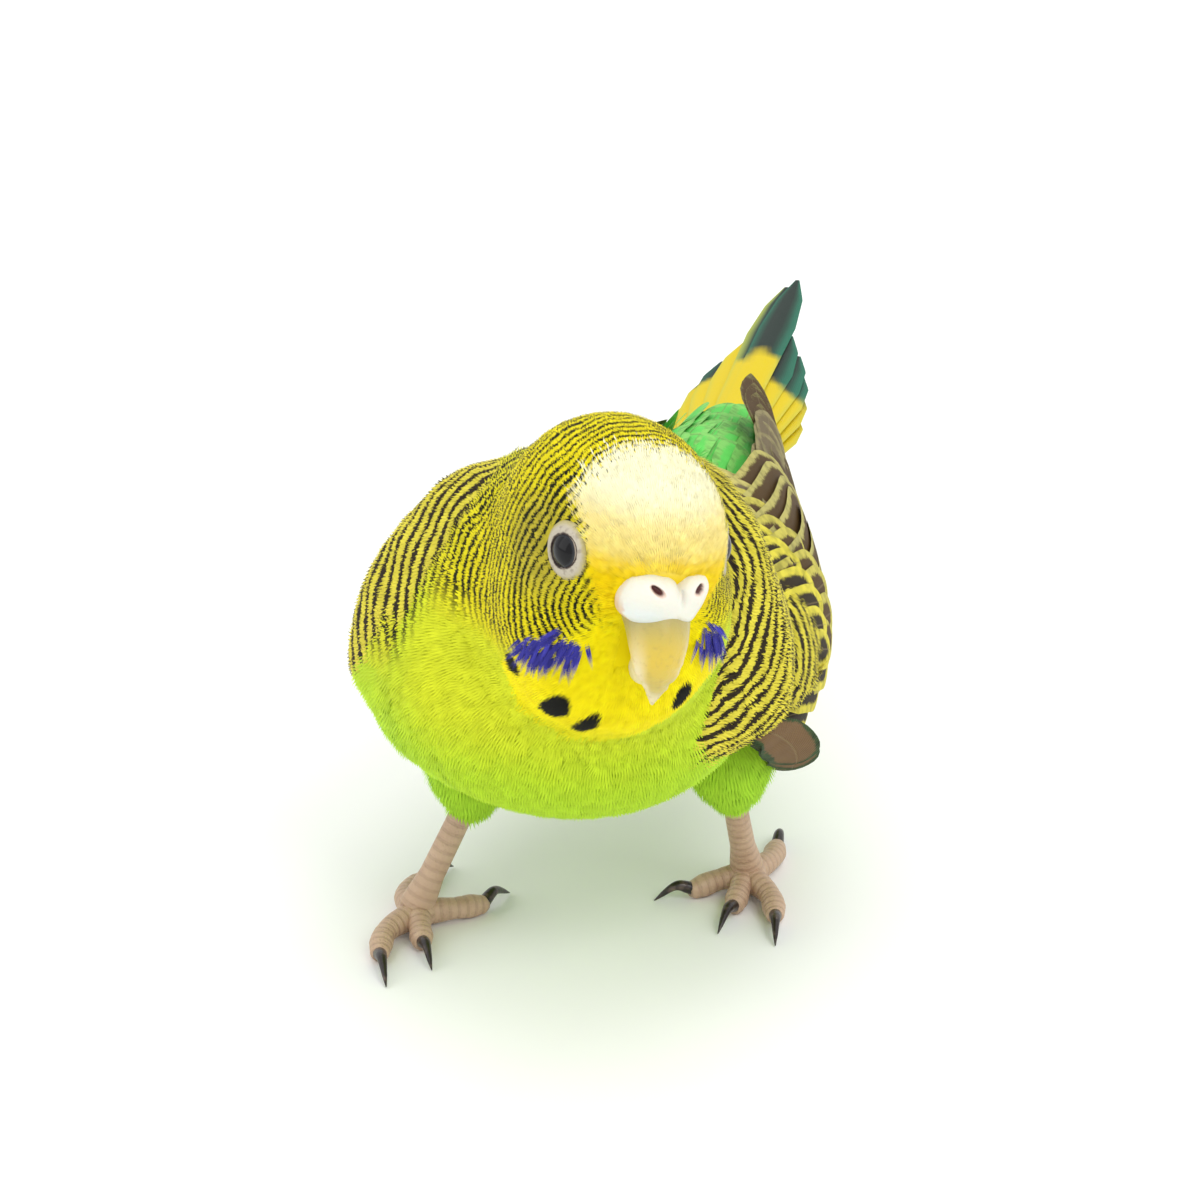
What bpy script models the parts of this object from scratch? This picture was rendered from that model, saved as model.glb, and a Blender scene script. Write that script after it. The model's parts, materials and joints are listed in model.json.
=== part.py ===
"""Life-size still model of a budgerigar that stands with its head turned to its left.

Sizes are in millimetres and meshes are written in metres. +X is the bird's left, +Y is
towards its tail and +Z is up, with the floor at z = 0. The body is one smooth union of
ellipsoids, sampled as a closed skin and parted by thin plane cuts into head, neck, torso
and rump. Wings and tail are tiers of thin vanes that are fused onto a small core.
"""

import math

import bmesh
import bpy
import numpy as np

MM = 0.001
GAP = 0.3
ORIGIN = (-4.0, 62.0, 0.0)

HEAD_CENTRE = (6.5, -24.0, 51.5)
HEAD_YAW = 35.8
HEAD_PITCH = -4.0
HEAD_ROLL = -7.7
BODY_PITCH = -9.0
TRUNK_BLEND = 2.2
HEAD_BLEND = 0.9

SKIN_SIDES = 32
SKIN_STATIONS = 26
TAIL_FAN = 4
HEAD_FAN = 10
REACH = 60.0

EYE_PLACE = (4.7, 6.7, 1.5)
EYE_RADIUS = 2.6
EYE_LOOK = (0.34, 0.94, 0.05)
LID_INNER = 2.8
LID_OUTER = 3.6

VANE_THICK = 0.5
TAIL_THICK = 0.65


def head_axes():
    """Left, up and forward unit vectors of the turned head, as three rows."""
    yaw, pitch, roll = np.radians([HEAD_YAW, HEAD_PITCH, HEAD_ROLL])
    forward = np.array([math.sin(yaw) * math.cos(pitch), -math.cos(yaw) * math.cos(pitch), math.sin(pitch)])
    level_left = np.array([math.cos(yaw), math.sin(yaw), 0.0])
    level_up = np.cross(forward, level_left)
    left = level_left * math.cos(roll) + level_up * math.sin(roll)
    up = level_up * math.cos(roll) - level_left * math.sin(roll)
    return np.array([left, up, forward])


HEAD_AXES = head_axes()


def head_point(forward, left, up):
    """A place in the head's own axes, measured from the head's centre."""
    return np.array(HEAD_CENTRE) + np.array([left, up, forward]) @ HEAD_AXES


def head_vector(forward, left, up):
    """A unit direction in the head's own axes."""
    vector = np.array([left, up, forward]) @ HEAD_AXES
    return vector / np.linalg.norm(vector)


def pitched(degrees):
    """Rows are the axes of a form tilted about X, its rear lower when negative."""
    turn = math.radians(degrees)
    return np.array([[1, 0, 0], [0, math.cos(turn), math.sin(turn)], [0, -math.sin(turn), math.cos(turn)]])


LEVEL_AXES = np.eye(3)
BODY_AXES = pitched(BODY_PITCH)
SKULL_AXES = np.array([HEAD_AXES[0], -HEAD_AXES[2], HEAD_AXES[1]])

# Each form of the trunk and of the head: centre, half sizes along its own three axes, and those axes
TRUNK_FORMS = [
    ((-3.4, -8.0, 33.0), (20.0, 17.5, 16.5), LEVEL_AXES),
    ((-3.4, 12.0, 29.5), (16.5, 27.0, 13.8), BODY_AXES),
    ((-4.2, 12.0, 33.5), (14.5, 31.0, 10.0), BODY_AXES),
    ((-4.5, 44.0, 33.0), (8.6, 20.0, 6.2), BODY_AXES),
    ((-0.7, -11.0, 43.5), (14.7, 14.0, 12.4), LEVEL_AXES),
    ((-8.0, -4.5, 37.0), (11.3, 13.5, 10.5), LEVEL_AXES),
    ((-15.2, -5.0, 27.5), (8.6, 12.0, 6.2), LEVEL_AXES),
]
HEAD_FORMS = [
    (head_point(-2.6, -0.3, 1.1), (10.4, 12.9, 10.8), SKULL_AXES),
    (head_point(3.7, 0.0, 2.2), (7.6, 7.8, 7.5), SKULL_AXES),
    (head_point(-0.5, -3.6, -6.5), (7.6, 9.4, 9.0), SKULL_AXES),
    (head_point(-0.5, 3.6, -6.5), (7.6, 9.4, 9.0), SKULL_AXES),
    (head_point(0.0, 0.0, -11.0), (9.0, 8.2, 7.5), SKULL_AXES),
]

SPINE = [(-4.5, 56.0, 30.5), (-4.3, 34.0, 32.5), (-4.0, 10.0, 34.0), (-0.5, -10.0, 41.0), (6.5, -24.0, 51.0)]

# Cuts between the body's nodes: a point on each plane and its normal, which points to the head
HEAD_CUT = (head_point(-4.0, 0.0, -11.0), head_vector(0.5, 0.0, 0.87))
NECK_CUT = (np.array([0.0, -9.0, 43.0]), np.array([0.35, -0.42, 0.84]))
RUMP_CUT = (np.array([0.0, 41.0, 33.0]), np.array([0.0, -0.99, 0.14]))

# Wing guides: y, then the section's centre x and z, its half width and its half height
LEFT_GUIDE = [
    (-24.0, -4.0, 32.0, 15.0, 12.0), (0.0, -4.0, 30.0, 22.0, 15.0), (20.0, -4.0, 29.0, 20.6, 14.0),
    (40.0, -4.0, 30.5, 14.2, 10.4), (60.0, -4.5, 32.5, 8.5, 6.5), (80.0, -6.5, 33.0, 5.0, 4.8),
]
RIGHT_GUIDE = [
    (-24.0, -4.0, 31.0, 13.0, 11.0), (0.0, -4.0, 29.5, 19.5, 15.0), (20.0, -4.0, 28.5, 18.5, 15.0),
    (40.0, -4.0, 29.5, 14.5, 11.0), (60.0, -5.0, 30.0, 9.5, 6.0), (80.0, -7.0, 28.5, 7.0, 4.5),
]

# Tiers of a wing: count, first and last root (y, angle), first and last tip, width, root and tip lift
WING_TIERS = {
    "primaries": (5, (-2.0, 106.0), (8.0, 92.0), (76.0, 24.0), (48.0, 70.0), 9.0, 0.4, 0.7),
    "secondaries": (5, (2.0, 100.0), (-2.0, 42.0), (32.0, 104.0), (44.0, 62.0), 12.0, 0.6, 1.4),
    "greater_coverts": (5, (-5.0, 100.0), (-6.0, 44.0), (14.0, 108.0), (19.0, 42.0), 11.0, 0.7, 2.0),
    "median_coverts": (5, (-11.0, 97.0), (-12.0, 46.0), (4.0, 106.0), (6.0, 42.0), 10.6, 0.8, 2.6),
    "lesser_coverts": (4, (-15.0, 94.0), (-16.0, 62.0), (-5.0, 100.0), (-4.5, 54.0), 9.6, 0.7, 3.2),
    "scapulars": (3, (-7.0, 38.0), (-5.0, 23.0), (22.0, 40.0), (24.0, 24.5), 11.0, 0.5, 1.9),
}
RIGHT_PRIMARY_TIPS = ((67.0, 88.0), (46.0, 90.0))
RIGHT_RAISE = 0.935
WING_CORE = {"y": (-18.0, 12.0), "angle": (12.0, 107.0), "lift": 1.9, "sunk": -2.5}
WING_SLANT = 0.42

# Tail: each feather pair's tip distance along the tail, its side step and its drop below the top pair
TAIL_ROOT = (-3.8, 47.0, 32.5)
TAIL_TIP = (-16.0, 161.0, 26.0)
TAIL_PAIRS = [
    (1.0, 0.7, 0.0), (0.74, 2.9, 0.8), (0.66, 4.9, 1.4), (0.58, 6.0, 2.0), (0.50, 6.7, 2.7), (0.42, 7.2, 3.4),
]
TAIL_WIDTH = 6.4

# Legs: hip, knee, heel and toe joint, then each toe's middle, end and claw tip
LEGS = {
    "right": {
        "hip": (-13.0, 3.5, 27.0), "knee": (-14.8, -5.4, 20.4),
        "heel": (-15.2, -5.0, 15.0), "joint": (-20.6, -7.6, 2.6),
        "toe_3": ((-22.4, -12.6), (-21.7, -17.4), (-19.3, -22.2)),
        "toe_2": ((-19.2, -11.0), (-18.1, -13.6), (-15.9, -17.4)),
        "toe_1": ((-17.2, -5.4), (-14.4, -2.4), (-13.3, 2.4)),
        "toe_4": ((-23.2, -3.6), (-22.3, 2.6), (-21.2, 7.2)),
    },
    "left": {
        "hip": (7.5, 10.0, 27.0), "knee": (10.8, 2.0, 20.5),
        "heel": (11.2, 2.8, 15.6), "joint": (11.3, 10.6, 2.6),
        "toe_3": ((14.8, 6.4), (16.4, 2.2), (17.4, -2.6)),
        "toe_2": ((11.4, 6.8), (11.5, 3.2), (10.9, -1.4)),
        "toe_1": ((8.6, 8.8), (5.9, 6.2), (2.4, 4.6)),
        "toe_4": ((12.9, 15.2), (12.7, 20.2), (12.2, 24.8)),
    },
}
TARSUS_RADIUS = 1.25
TOE_RADIUS = (1.45, 1.15)
CLAW_RADIUS = 0.72
THIGH_RADII = (7.0, 6.0, 3.7, 1.9)


def union_of(forms, points, blend):
    """Signed distance, roughly, to a smooth union of ellipsoids."""
    total = np.zeros(points.shape[:-1])
    for centre, half, axes in forms:
        local = ((points - np.array(centre)) @ axes.T) / np.array(half)
        near = np.linalg.norm(local, axis=-1)
        slope = np.linalg.norm(local / np.array(half), axis=-1)
        distance = near * (near - 1.0) / np.maximum(slope, 1e-9)
        total += np.exp(-np.clip(distance, -REACH, REACH) / blend)
    return -blend * np.log(total)


def trunk_field(points):
    """Signed distance to the trunk alone."""
    return union_of(TRUNK_FORMS, points, TRUNK_BLEND)


def body_field(points):
    """Signed distance to the whole body, its head blended softly onto the trunk."""
    trunk = trunk_field(points)
    head_part = union_of(HEAD_FORMS, points, HEAD_BLEND)
    nearer = np.minimum(trunk, head_part)
    apart = np.abs(trunk - head_part)
    return nearer - TRUNK_BLEND * np.log1p(np.exp(-apart / TRUNK_BLEND))


def cast(origins, rays, level=0.0, distance=body_field):
    """Length along each ray at which a distance field reaches the level, by bisection."""
    low = np.zeros(origins.shape[:-1])
    high = np.full(origins.shape[:-1], REACH)
    for _ in range(36):
        middle = (low + high) / 2.0
        outside = distance(origins + rays * middle[..., None]) > level
        high = np.where(outside, middle, high)
        low = np.where(outside, low, middle)
    return low


def curve_through(points, count):
    """A smooth Catmull-Rom curve through the points, read at evenly spaced steps."""
    knots = np.array(points, dtype=float)
    knots = np.vstack([2 * knots[0] - knots[1], knots, 2 * knots[-1] - knots[-2]])
    step = np.linspace(0.0, len(knots) - 3, count)
    index = np.minimum(step.astype(int), len(knots) - 4)
    t = (step - index)[:, None]
    a, b, c, d = knots[index], knots[index + 1], knots[index + 2], knots[index + 3]
    return 0.5 * (2 * b + (c - a) * t + (2 * a - 5 * b + 4 * c - d) * t**2 + (3 * b - a - 3 * c + d) * t**3)


def unit(vectors):
    """The vectors scaled to length one."""
    return vectors / np.maximum(np.linalg.norm(vectors, axis=-1, keepdims=True), 1e-9)


def object_from(name, points, faces):
    """A closed object from points in millimetres, its faces turned outwards."""
    mesh = bpy.data.meshes.new(name)
    mesh.from_pydata(((np.asarray(points) - np.array(ORIGIN)) * MM).tolist(), [], [list(face) for face in faces])
    body = bmesh.new()
    body.from_mesh(mesh)
    bmesh.ops.recalc_face_normals(body, faces=body.faces)
    bmesh.ops.triangulate(body, faces=body.faces)
    body.to_mesh(mesh)
    body.free()
    shape = bpy.data.objects.new(name, mesh)
    bpy.context.scene.collection.objects.link(shape)
    return shape


def tube(name, rings, first=None, last=None):
    """A closed skin over rings of points, with a fan to a middle point at each end."""
    rows, sides, _ = rings.shape
    first = rings[0].mean(axis=0) if first is None else first
    last = rings[-1].mean(axis=0) if last is None else last
    points = np.vstack([rings.reshape(-1, 3), [first], [last]])
    row, side = np.meshgrid(np.arange(rows - 1), np.arange(sides), indexing="ij")
    a = (row * sides + side).ravel()
    b = (row * sides + (side + 1) % sides).ravel()
    faces = np.vstack([np.stack([a, b, b + sides], 1), np.stack([a, b + sides, a + sides], 1)])
    around = np.arange(sides)
    after = (around + 1) % sides
    start = np.stack([np.full(sides, rows * sides), after, around], 1)
    base = (rows - 1) * sides
    end = np.stack([np.full(sides, rows * sides + 1), base + around, base + after], 1)
    return object_from(name, points, np.vstack([faces, start, end]).tolist())


def plate(name, top, bottom):
    """A thin closed plate between two like grids, split into triangles alike on both faces."""
    rows, across, _ = top.shape
    count = rows * across
    points = np.vstack([top.reshape(-1, 3), bottom.reshape(-1, 3)])
    row, column = np.meshgrid(np.arange(rows - 1), np.arange(across - 1), indexing="ij")
    a = (row * across + column).ravel()
    upper = np.vstack([np.stack([a, a + 1, a + across + 1], 1), np.stack([a, a + across + 1, a + across], 1)])
    lower = upper[:, ::-1] + count
    grid = np.arange(count).reshape(rows, across)
    loop = np.concatenate([grid[0, :-1], grid[:-1, -1], grid[-1, :0:-1], grid[:0:-1, 0]])
    after = np.roll(loop, -1)
    edge = np.vstack([np.stack([loop, loop + count, after + count], 1), np.stack([loop, after + count, after], 1)])
    return object_from(name, points, np.vstack([upper, lower, edge]).tolist())


def loft(name, path, radii, sides=10, flat=None, grow=0.0):
    """A round tube along a path, whose rings stand square to it; flat clamps it to the floor."""
    path = np.asarray(path, dtype=float)
    radii = np.asarray(radii, dtype=float) + grow
    along = unit(np.gradient(path, axis=0))
    across = unit(np.cross(along, [0.31, 0.17, 0.93]))
    third = np.cross(along, across)
    turn = np.linspace(0.0, 2 * np.pi, sides, endpoint=False)[None, :, None]
    rings = path[:, None] + radii[:, None, None] * (np.cos(turn) * across[:, None] + np.sin(turn) * third[:, None])
    if flat is not None:
        rings[..., 2] = np.maximum(rings[..., 2], flat)
    return tube(name, rings)


def ball(name, centre, half, axes=LEVEL_AXES, sides=20, rows=12):
    """An ellipsoid with the given half sizes along the rows of axes."""
    tilt = np.linspace(0.0, np.pi, rows + 1)[1:-1, None]
    turn = np.linspace(0.0, 2 * np.pi, sides, endpoint=False)[None, :]
    local = np.stack([np.sin(tilt) * np.cos(turn), np.sin(tilt) * np.sin(turn), np.cos(tilt) + 0 * turn], -1)
    rings = np.array(centre) + (local * np.array(half)) @ axes
    pole = np.array([0.0, 0.0, half[2]]) @ axes
    return tube(name, rings, np.array(centre) + pole, np.array(centre) - pole)


def turned_ring(name, centre, axis, profile, sides=14):
    """A ring turned about an axis from a closed profile of (distance along it, radius)."""
    across = unit(np.cross(axis, [0.0, 0.0, 1.0]))
    third = np.cross(axis, across)
    turn = np.linspace(0.0, 2 * np.pi, sides, endpoint=False)
    spoke = np.cos(turn)[:, None] * across + np.sin(turn)[:, None] * third
    profile = np.array(profile)
    points = np.array(centre) + profile[None, :, :1] * axis + profile[None, :, 1:] * spoke[:, None]
    count = len(profile)
    faces = []
    for side in range(sides):
        for step in range(count):
            a = side * count + step
            b = side * count + (step + 1) % count
            c = ((side + 1) % sides) * count + (step + 1) % count
            d = ((side + 1) % sides) * count + step
            faces.append((a, b, c, d))
    return object_from(name, points.reshape(-1, 3), faces)


def evaluate(shape):
    """Replace the object's mesh by its evaluated one, and drop its modifiers."""
    depsgraph = bpy.context.evaluated_depsgraph_get()
    mesh = bpy.data.meshes.new_from_object(shape.evaluated_get(depsgraph))
    shape.modifiers.clear()
    shape.data = mesh


def drop_scraps(body):
    """Delete all but the closed surface with the largest volume from a mesh of triangles."""
    left = set(body.faces)
    groups = []
    while left:
        stack = [left.pop()]
        group = [stack[0]]
        while stack:
            face = stack.pop()
            near = {other for edge in face.edges for other in edge.link_faces if other in left}
            left -= near
            stack.extend(near)
            group.extend(near)
        corners = [[vert.co for vert in face.verts] for face in group]
        volume = sum(a.dot(b.cross(c)) for a, b, c in corners) / 6.0
        groups.append((abs(volume), group))
    groups.sort(key=lambda entry: entry[0])
    scraps = [face for _, group in groups[:-1] for face in group]
    bmesh.ops.delete(body, geom=scraps, context="FACES")


def keep_largest(shape):
    """Keep the closed surface with the largest volume, its flat areas merged, as triangles."""
    body = bmesh.new()
    body.from_mesh(shape.data)
    bmesh.ops.triangulate(body, faces=body.faces)
    drop_scraps(body)
    bmesh.ops.dissolve_limit(body, angle_limit=math.radians(0.3), verts=body.verts, edges=body.edges)
    bmesh.ops.triangulate(body, faces=body.faces)
    drop_scraps(body)
    body.to_mesh(shape.data)
    body.free()


def combine(shape, pieces, operation, solver="MANIFOLD"):
    """Join the pieces to the shape, or cut them from it, in one Boolean on a collection."""
    group = bpy.data.collections.new(shape.name + "_" + operation.lower())
    bpy.context.scene.collection.children.link(group)
    for piece in pieces:
        bpy.context.scene.collection.objects.unlink(piece)
        group.objects.link(piece)
    modifier = shape.modifiers.new("combine", "BOOLEAN")
    modifier.operation = operation
    modifier.solver = solver
    modifier.operand_type = "COLLECTION"
    modifier.collection = group
    evaluate(shape)
    for piece in pieces:
        bpy.data.objects.remove(piece)
    bpy.data.collections.remove(group)
    keep_largest(shape)
    return shape


def skin(name, level=0.0):
    """The body's closed skin: rays square to the spine, and a fan of rays at each end."""
    spine = curve_through(SPINE, SKIN_STATIONS)
    along = unit(np.gradient(spine, axis=0))
    across = unit(np.cross(along, [0.0, 0.0, 1.0]))
    third = np.cross(across, along)
    tail_fan = np.linspace(-np.pi / 2, 0, TAIL_FAN + 1)[1:-1]
    head_fan = np.linspace(0, np.pi / 2, HEAD_FAN + 1)[1:-1]
    tilts = np.concatenate([tail_fan, np.zeros(SKIN_STATIONS), head_fan])
    station = np.concatenate([
        np.zeros(TAIL_FAN - 1, int), np.arange(SKIN_STATIONS), np.full(HEAD_FAN - 1, SKIN_STATIONS - 1),
    ])
    turn = np.linspace(0.0, 2 * np.pi, SKIN_SIDES, endpoint=False)[None, :, None]
    flat = np.cos(turn) * across[station][:, None] + np.sin(turn) * third[station][:, None]
    rays = np.cos(tilts)[:, None, None] * flat + np.sin(tilts)[:, None, None] * along[station][:, None]
    origins = np.broadcast_to(spine[station][:, None], rays.shape)
    rings = origins + rays * cast(origins, rays, level)[..., None]
    ends = np.array([spine[0], spine[-1]])
    outwards = np.array([-along[0], along[-1]])
    poles = ends + outwards * cast(ends, outwards, level)[..., None]
    return tube(name, rings, poles[0], poles[1])


def trim(shape, cut, keep, step=GAP / 2):
    """Cut the object by a plane and cap it; keep says which side stays, half a gap clear."""
    point, normal = cut
    normal = unit(np.array(normal)) * keep
    place = (np.array(point) + normal * step - np.array(ORIGIN)) * MM
    body = bmesh.new()
    body.from_mesh(shape.data)
    parts = body.verts[:] + body.edges[:] + body.faces[:]
    result = bmesh.ops.bisect_plane(
        body, geom=parts, dist=1e-8, plane_co=tuple(place), plane_no=tuple(normal), clear_inner=True
    )
    rim = [item for item in result["geom_cut"] if isinstance(item, bmesh.types.BMEdge)]
    bmesh.ops.edgeloop_fill(body, edges=rim)
    bmesh.ops.triangulate(body, faces=body.faces)
    bmesh.ops.recalc_face_normals(body, faces=body.faces)
    body.to_mesh(shape.data)
    body.free()
    return shape


def smooth_read(value, knots, column):
    """Read a column of a table of knots with smooth steps between its rows."""
    table = np.array(knots)
    places, heights = table[:, 0], table[:, column]
    slopes = np.gradient(heights, places)
    value = np.clip(value, places[0], places[-1])
    index = np.clip(np.searchsorted(places, value) - 1, 0, len(places) - 2)
    span = places[index + 1] - places[index]
    t = (value - places[index]) / span
    rise = heights[index] * (1 + 2 * t) * (1 - t) ** 2 + heights[index + 1] * t**2 * (3 - 2 * t)
    return rise + span * (slopes[index] * t * (1 - t) ** 2 - slopes[index + 1] * t**2 * (1 - t))


def wing_place(side, y, angle, lift):
    """A point over the wing's guide: angle from the top of the back round its side, lift outwards."""
    y, angle, lift = np.broadcast_arrays(np.asarray(y, float), np.asarray(angle, float), np.asarray(lift, float))
    guide = LEFT_GUIDE if side > 0 else RIGHT_GUIDE
    centre_x, centre_z, wide, high = (smooth_read(y, guide, column) for column in (1, 2, 3, 4))
    turn = np.radians(angle if side > 0 else angle * RIGHT_RAISE)
    ray = np.stack([side * np.sin(turn), 0 * turn, np.cos(turn)], -1)
    origin = np.stack([centre_x, y, centre_z], -1)
    table = 1.0 / np.sqrt((np.sin(turn) / wide) ** 2 + (np.cos(turn) / high) ** 2)
    body = np.where(trunk_field(origin) < 0.0, cast(origin, ray, GAP + 0.2, trunk_field), 0.0)
    return origin + ray * (np.maximum(table, body) + lift)[..., None]


def wing_vane(name, side, root, tip, width, root_lift, tip_lift, rows):
    """A feather over the wing's guide: a thin plate, narrow at its root, round at its tip."""
    u = np.linspace(0.0, 1.0, rows)
    y = root[0] + (tip[0] - root[0]) * u
    angle = root[1] + (tip[1] - root[1]) * (0.55 * u + 0.45 * u * u)
    lift = root_lift + (tip_lift - root_lift) * np.sqrt(u)
    middle = wing_place(side, y, angle, lift)
    outward = unit(wing_place(side, y, angle, lift + 1.0) - middle)
    along = unit(np.gradient(middle, axis=0))
    across = unit(np.cross(along, outward)) * side
    half = width / 2 * np.interp(u, [0.0, 0.35, 0.85, 1.0], [0.45, 0.95, 1.0, 0.42])
    reach = half[:, None, None] * np.array([-1.0, 1.0])[None, :, None]
    fall = (half**2 / 42.0)[:, None, None] - WING_SLANT * np.array([-1.0, 1.0])[None, :, None]
    top = middle[:, None] + across[:, None] * reach - outward[:, None] * fall
    bottom = top - outward[:, None] * VANE_THICK
    return plate(name, top, bottom)


def wing_core(name, side):
    """The wing's flesh under the coverts: a lens over the shoulder, sunk into the body's side."""
    v, w = np.meshgrid(np.linspace(-1, 1, 7), np.linspace(-1, 1, 8), indexing="ij")
    y = np.interp(v * np.sqrt(1 - 0.45 * w**2), [-1, 1], WING_CORE["y"])
    angle = np.interp(w * np.sqrt(1 - 0.45 * v**2), [-1, 1], WING_CORE["angle"])
    lift = WING_CORE["lift"] * (1.0 - np.maximum(np.abs(v), np.abs(w)) ** 3) + 0.1
    top = wing_place(side, y, angle, lift)
    bottom = wing_place(side, y, angle, np.full(y.shape, WING_CORE["sunk"]))
    return plate(name, top, bottom)


def wing(name, side, cutters):
    """One folded wing: its core and tiers of feathers, fused and cut clear of the body."""
    pieces = []
    for tier, (count, root_a, root_b, tip_a, tip_b, width, root_lift, tip_lift) in WING_TIERS.items():
        if side < 0 and tier == "primaries":
            tip_a, tip_b = RIGHT_PRIMARY_TIPS
        for index in range(count):
            share = index / (count - 1)
            root = np.array(root_a) * (1 - share) + np.array(root_b) * share
            tip = np.array(tip_a) * (1 - share) + np.array(tip_b) * share
            label = name + "_" + tier + str(index)
            rows = 5 if tier in ("primaries", "secondaries") else 4
            pieces.append(wing_vane(label, side, root, tip, width, root_lift, tip_lift, rows))
    shape = combine(wing_core(name, side), pieces, "UNION")
    return combine(shape, cutters, "DIFFERENCE")


def tail_vane(name, reach, step, drop, side):
    """One tail feather: a long thin plate that narrows to a soft point, bent with the tail."""
    u = np.array([0.0, 0.2, 0.5, 0.78, 0.92, 1.0])
    root = np.array(TAIL_ROOT)
    line = np.array(TAIL_TIP) - root
    along = unit(line)
    across = unit(np.cross([0.0, 0.0, 1.0], along)) * -side
    up = np.cross(along, across) * -side
    if up[2] < 0:
        up = -up
    spread = step * (0.25 + 0.75 * u**1.3)
    middle = root + line * (u * reach)[:, None] + across * spread[:, None] - up * (drop * (0.5 + 0.5 * u))[:, None]
    half = TAIL_WIDTH / 2 * np.interp(u, [0.0, 0.2, 0.75, 0.9, 1.0], [0.45, 0.8, 1.0, 0.7, 0.16])
    outer = middle + across * half[:, None] - up * (0.10 * half)[:, None]
    inner = middle - across * half[:, None] * 0.8
    top = np.stack([inner, outer], 1)
    bottom = top - up * TAIL_THICK
    return plate(name, top, bottom)


def tail(name, cutters):
    """The tail: a short root block and graduated feathers that grow from it."""
    pieces = []
    for number, (reach, step, drop) in enumerate(TAIL_PAIRS):
        for side in (1, -1):
            label = name + "_feather" + str(number) + ("l" if side > 0 else "r")
            lower = drop + (0.35 if side < 0 else 0.0)
            pieces.append(tail_vane(label, reach - (0.03 if side < 0 else 0.0), step, lower, side))
    root = np.array(TAIL_ROOT)
    along = unit(np.array(TAIL_TIP) - root)
    block = ball(name, root + along * 12.0 + np.array([0, 0, -1.6]), (6.0, 17.0, 3.1), BODY_AXES, 16, 10)
    shape = combine(block, pieces, "UNION")
    return combine(shape, cutters, "DIFFERENCE")


def eye_centre(side):
    """Centre of an eyeball; side is 1 on the bird's left."""
    return head_point(EYE_PLACE[0], EYE_PLACE[1] * side, EYE_PLACE[2])


def eye_axis(side):
    """The way an eye looks."""
    return head_vector(EYE_LOOK[0], EYE_LOOK[1] * side, EYE_LOOK[2])


def lid_ring(name, side):
    """The bare ring and lids round one eye, which stand a little out of the head."""
    inner = [(LID_INNER * math.cos(t), LID_INNER * math.sin(t)) for t in np.radians([88.0, 44.0])]
    outer = [(LID_OUTER * math.cos(t), LID_OUTER * math.sin(t)) for t in np.radians([41.0, 62.0, 88.0])]
    return turned_ring(name, eye_centre(side), eye_axis(side), inner + outer)


def head():
    """The head with its eye sockets and lid rings."""
    shape = trim(skin("head"), HEAD_CUT, 1)
    rings = [lid_ring("lids" + str(side), side) for side in (1, -1)]
    shape = combine(shape, rings, "UNION")
    sockets = [ball("socket", eye_centre(side), (EYE_RADIUS + GAP,) * 3, LEVEL_AXES, 16, 10) for side in (1, -1)]
    return combine(shape, sockets, "DIFFERENCE")


def bill_path():
    """The curved middle line of the upper bill, from under the cere down to its tip."""
    stations = [(7.6, -1.6), (10.0, -2.6), (11.8, -4.9), (12.2, -7.8), (11.2, -11.1)]
    return curve_through([head_point(f, 0.0, u) for f, u in stations], 8)


def bill_rings(grow=0.0):
    """Sections of the upper bill: half widths to the sides and half depths to the front."""
    path = bill_path()
    u = np.linspace(0.0, 1.0, len(path))
    wide = np.interp(u, [0.0, 0.35, 0.6, 0.85, 1.0], [3.6, 3.6, 3.0, 1.5, 0.3]) + grow
    deep = np.interp(u, [0.0, 0.35, 0.6, 0.85, 1.0], [3.2, 2.8, 2.3, 1.3, 0.3]) + grow
    along = unit(np.gradient(path, axis=0))
    side = HEAD_AXES[0][None]
    front = unit(np.cross(along, side))
    turn = np.linspace(0.0, 2 * np.pi, 12, endpoint=False)[None, :, None]
    offset = np.cos(turn) * wide[:, None, None] * side[:, None] + np.sin(turn) * deep[:, None, None] * front[:, None]
    return path[:, None] + offset


def cere_parts(grow=0.0):
    """The cere's two swollen lobes and the saddle between them."""
    lobe_half = np.array([2.9, 2.6, 2.1]) + grow
    saddle_half = np.array([5.2, 3.4, 2.3]) + grow
    saddle = ball("cere", head_point(10.1, -0.2, -1.0), saddle_half, SKULL_AXES, 14, 8)
    lobes = [ball("lobe", head_point(11.1, 2.1 * side - 0.2, 0.4), lobe_half, SKULL_AXES, 14, 8) for side in (1, -1)]
    return [saddle] + lobes


def bill_and_cere():
    """Cere, upper bill and lower bill, each cut clear of what it grows from."""
    parts = cere_parts()
    cere = combine(parts[0], parts[1:], "UNION")
    combine(cere, [skin("head_room", GAP)], "DIFFERENCE")
    pits = []
    for side in (1, -1):
        mouth = head_point(15.4, 2.6 * side - 0.2, 1.5)
        floor = head_point(12.6, 2.1 * side - 0.2, 0.7)
        pits.append(loft("nostril", [mouth, floor], [0.62, 0.5], 8))
    combine(cere, pits, "DIFFERENCE")
    upper = combine(tube("bill_upper", bill_rings()), [skin("head_room", GAP)] + cere_parts(GAP), "DIFFERENCE")
    upper.name = "bill_upper"
    lower = ball("bill_lower", head_point(8.4, 0.0, -9.0), (2.1, 2.2, 2.2), SKULL_AXES, 12, 7)
    combine(lower, [skin("head_room", GAP), tube("bill_room", bill_rings(GAP))], "DIFFERENCE")


def thigh_shape(name, leg, grow=0.0):
    """The feathered thigh, from inside the flank to a cuff round the top of the tarsus."""
    heel, joint = np.array(leg["heel"]), np.array(leg["joint"])
    cuff = heel + unit(joint - heel) * 2.2
    path = np.vstack([curve_through([leg["hip"], leg["knee"], leg["heel"]], 6), [cuff]])
    radii = np.interp(np.linspace(0, 1, 7), [0.0, 0.45, 0.8, 1.0], THIGH_RADII)
    return loft(name, path, radii, 14, grow=grow)


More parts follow.
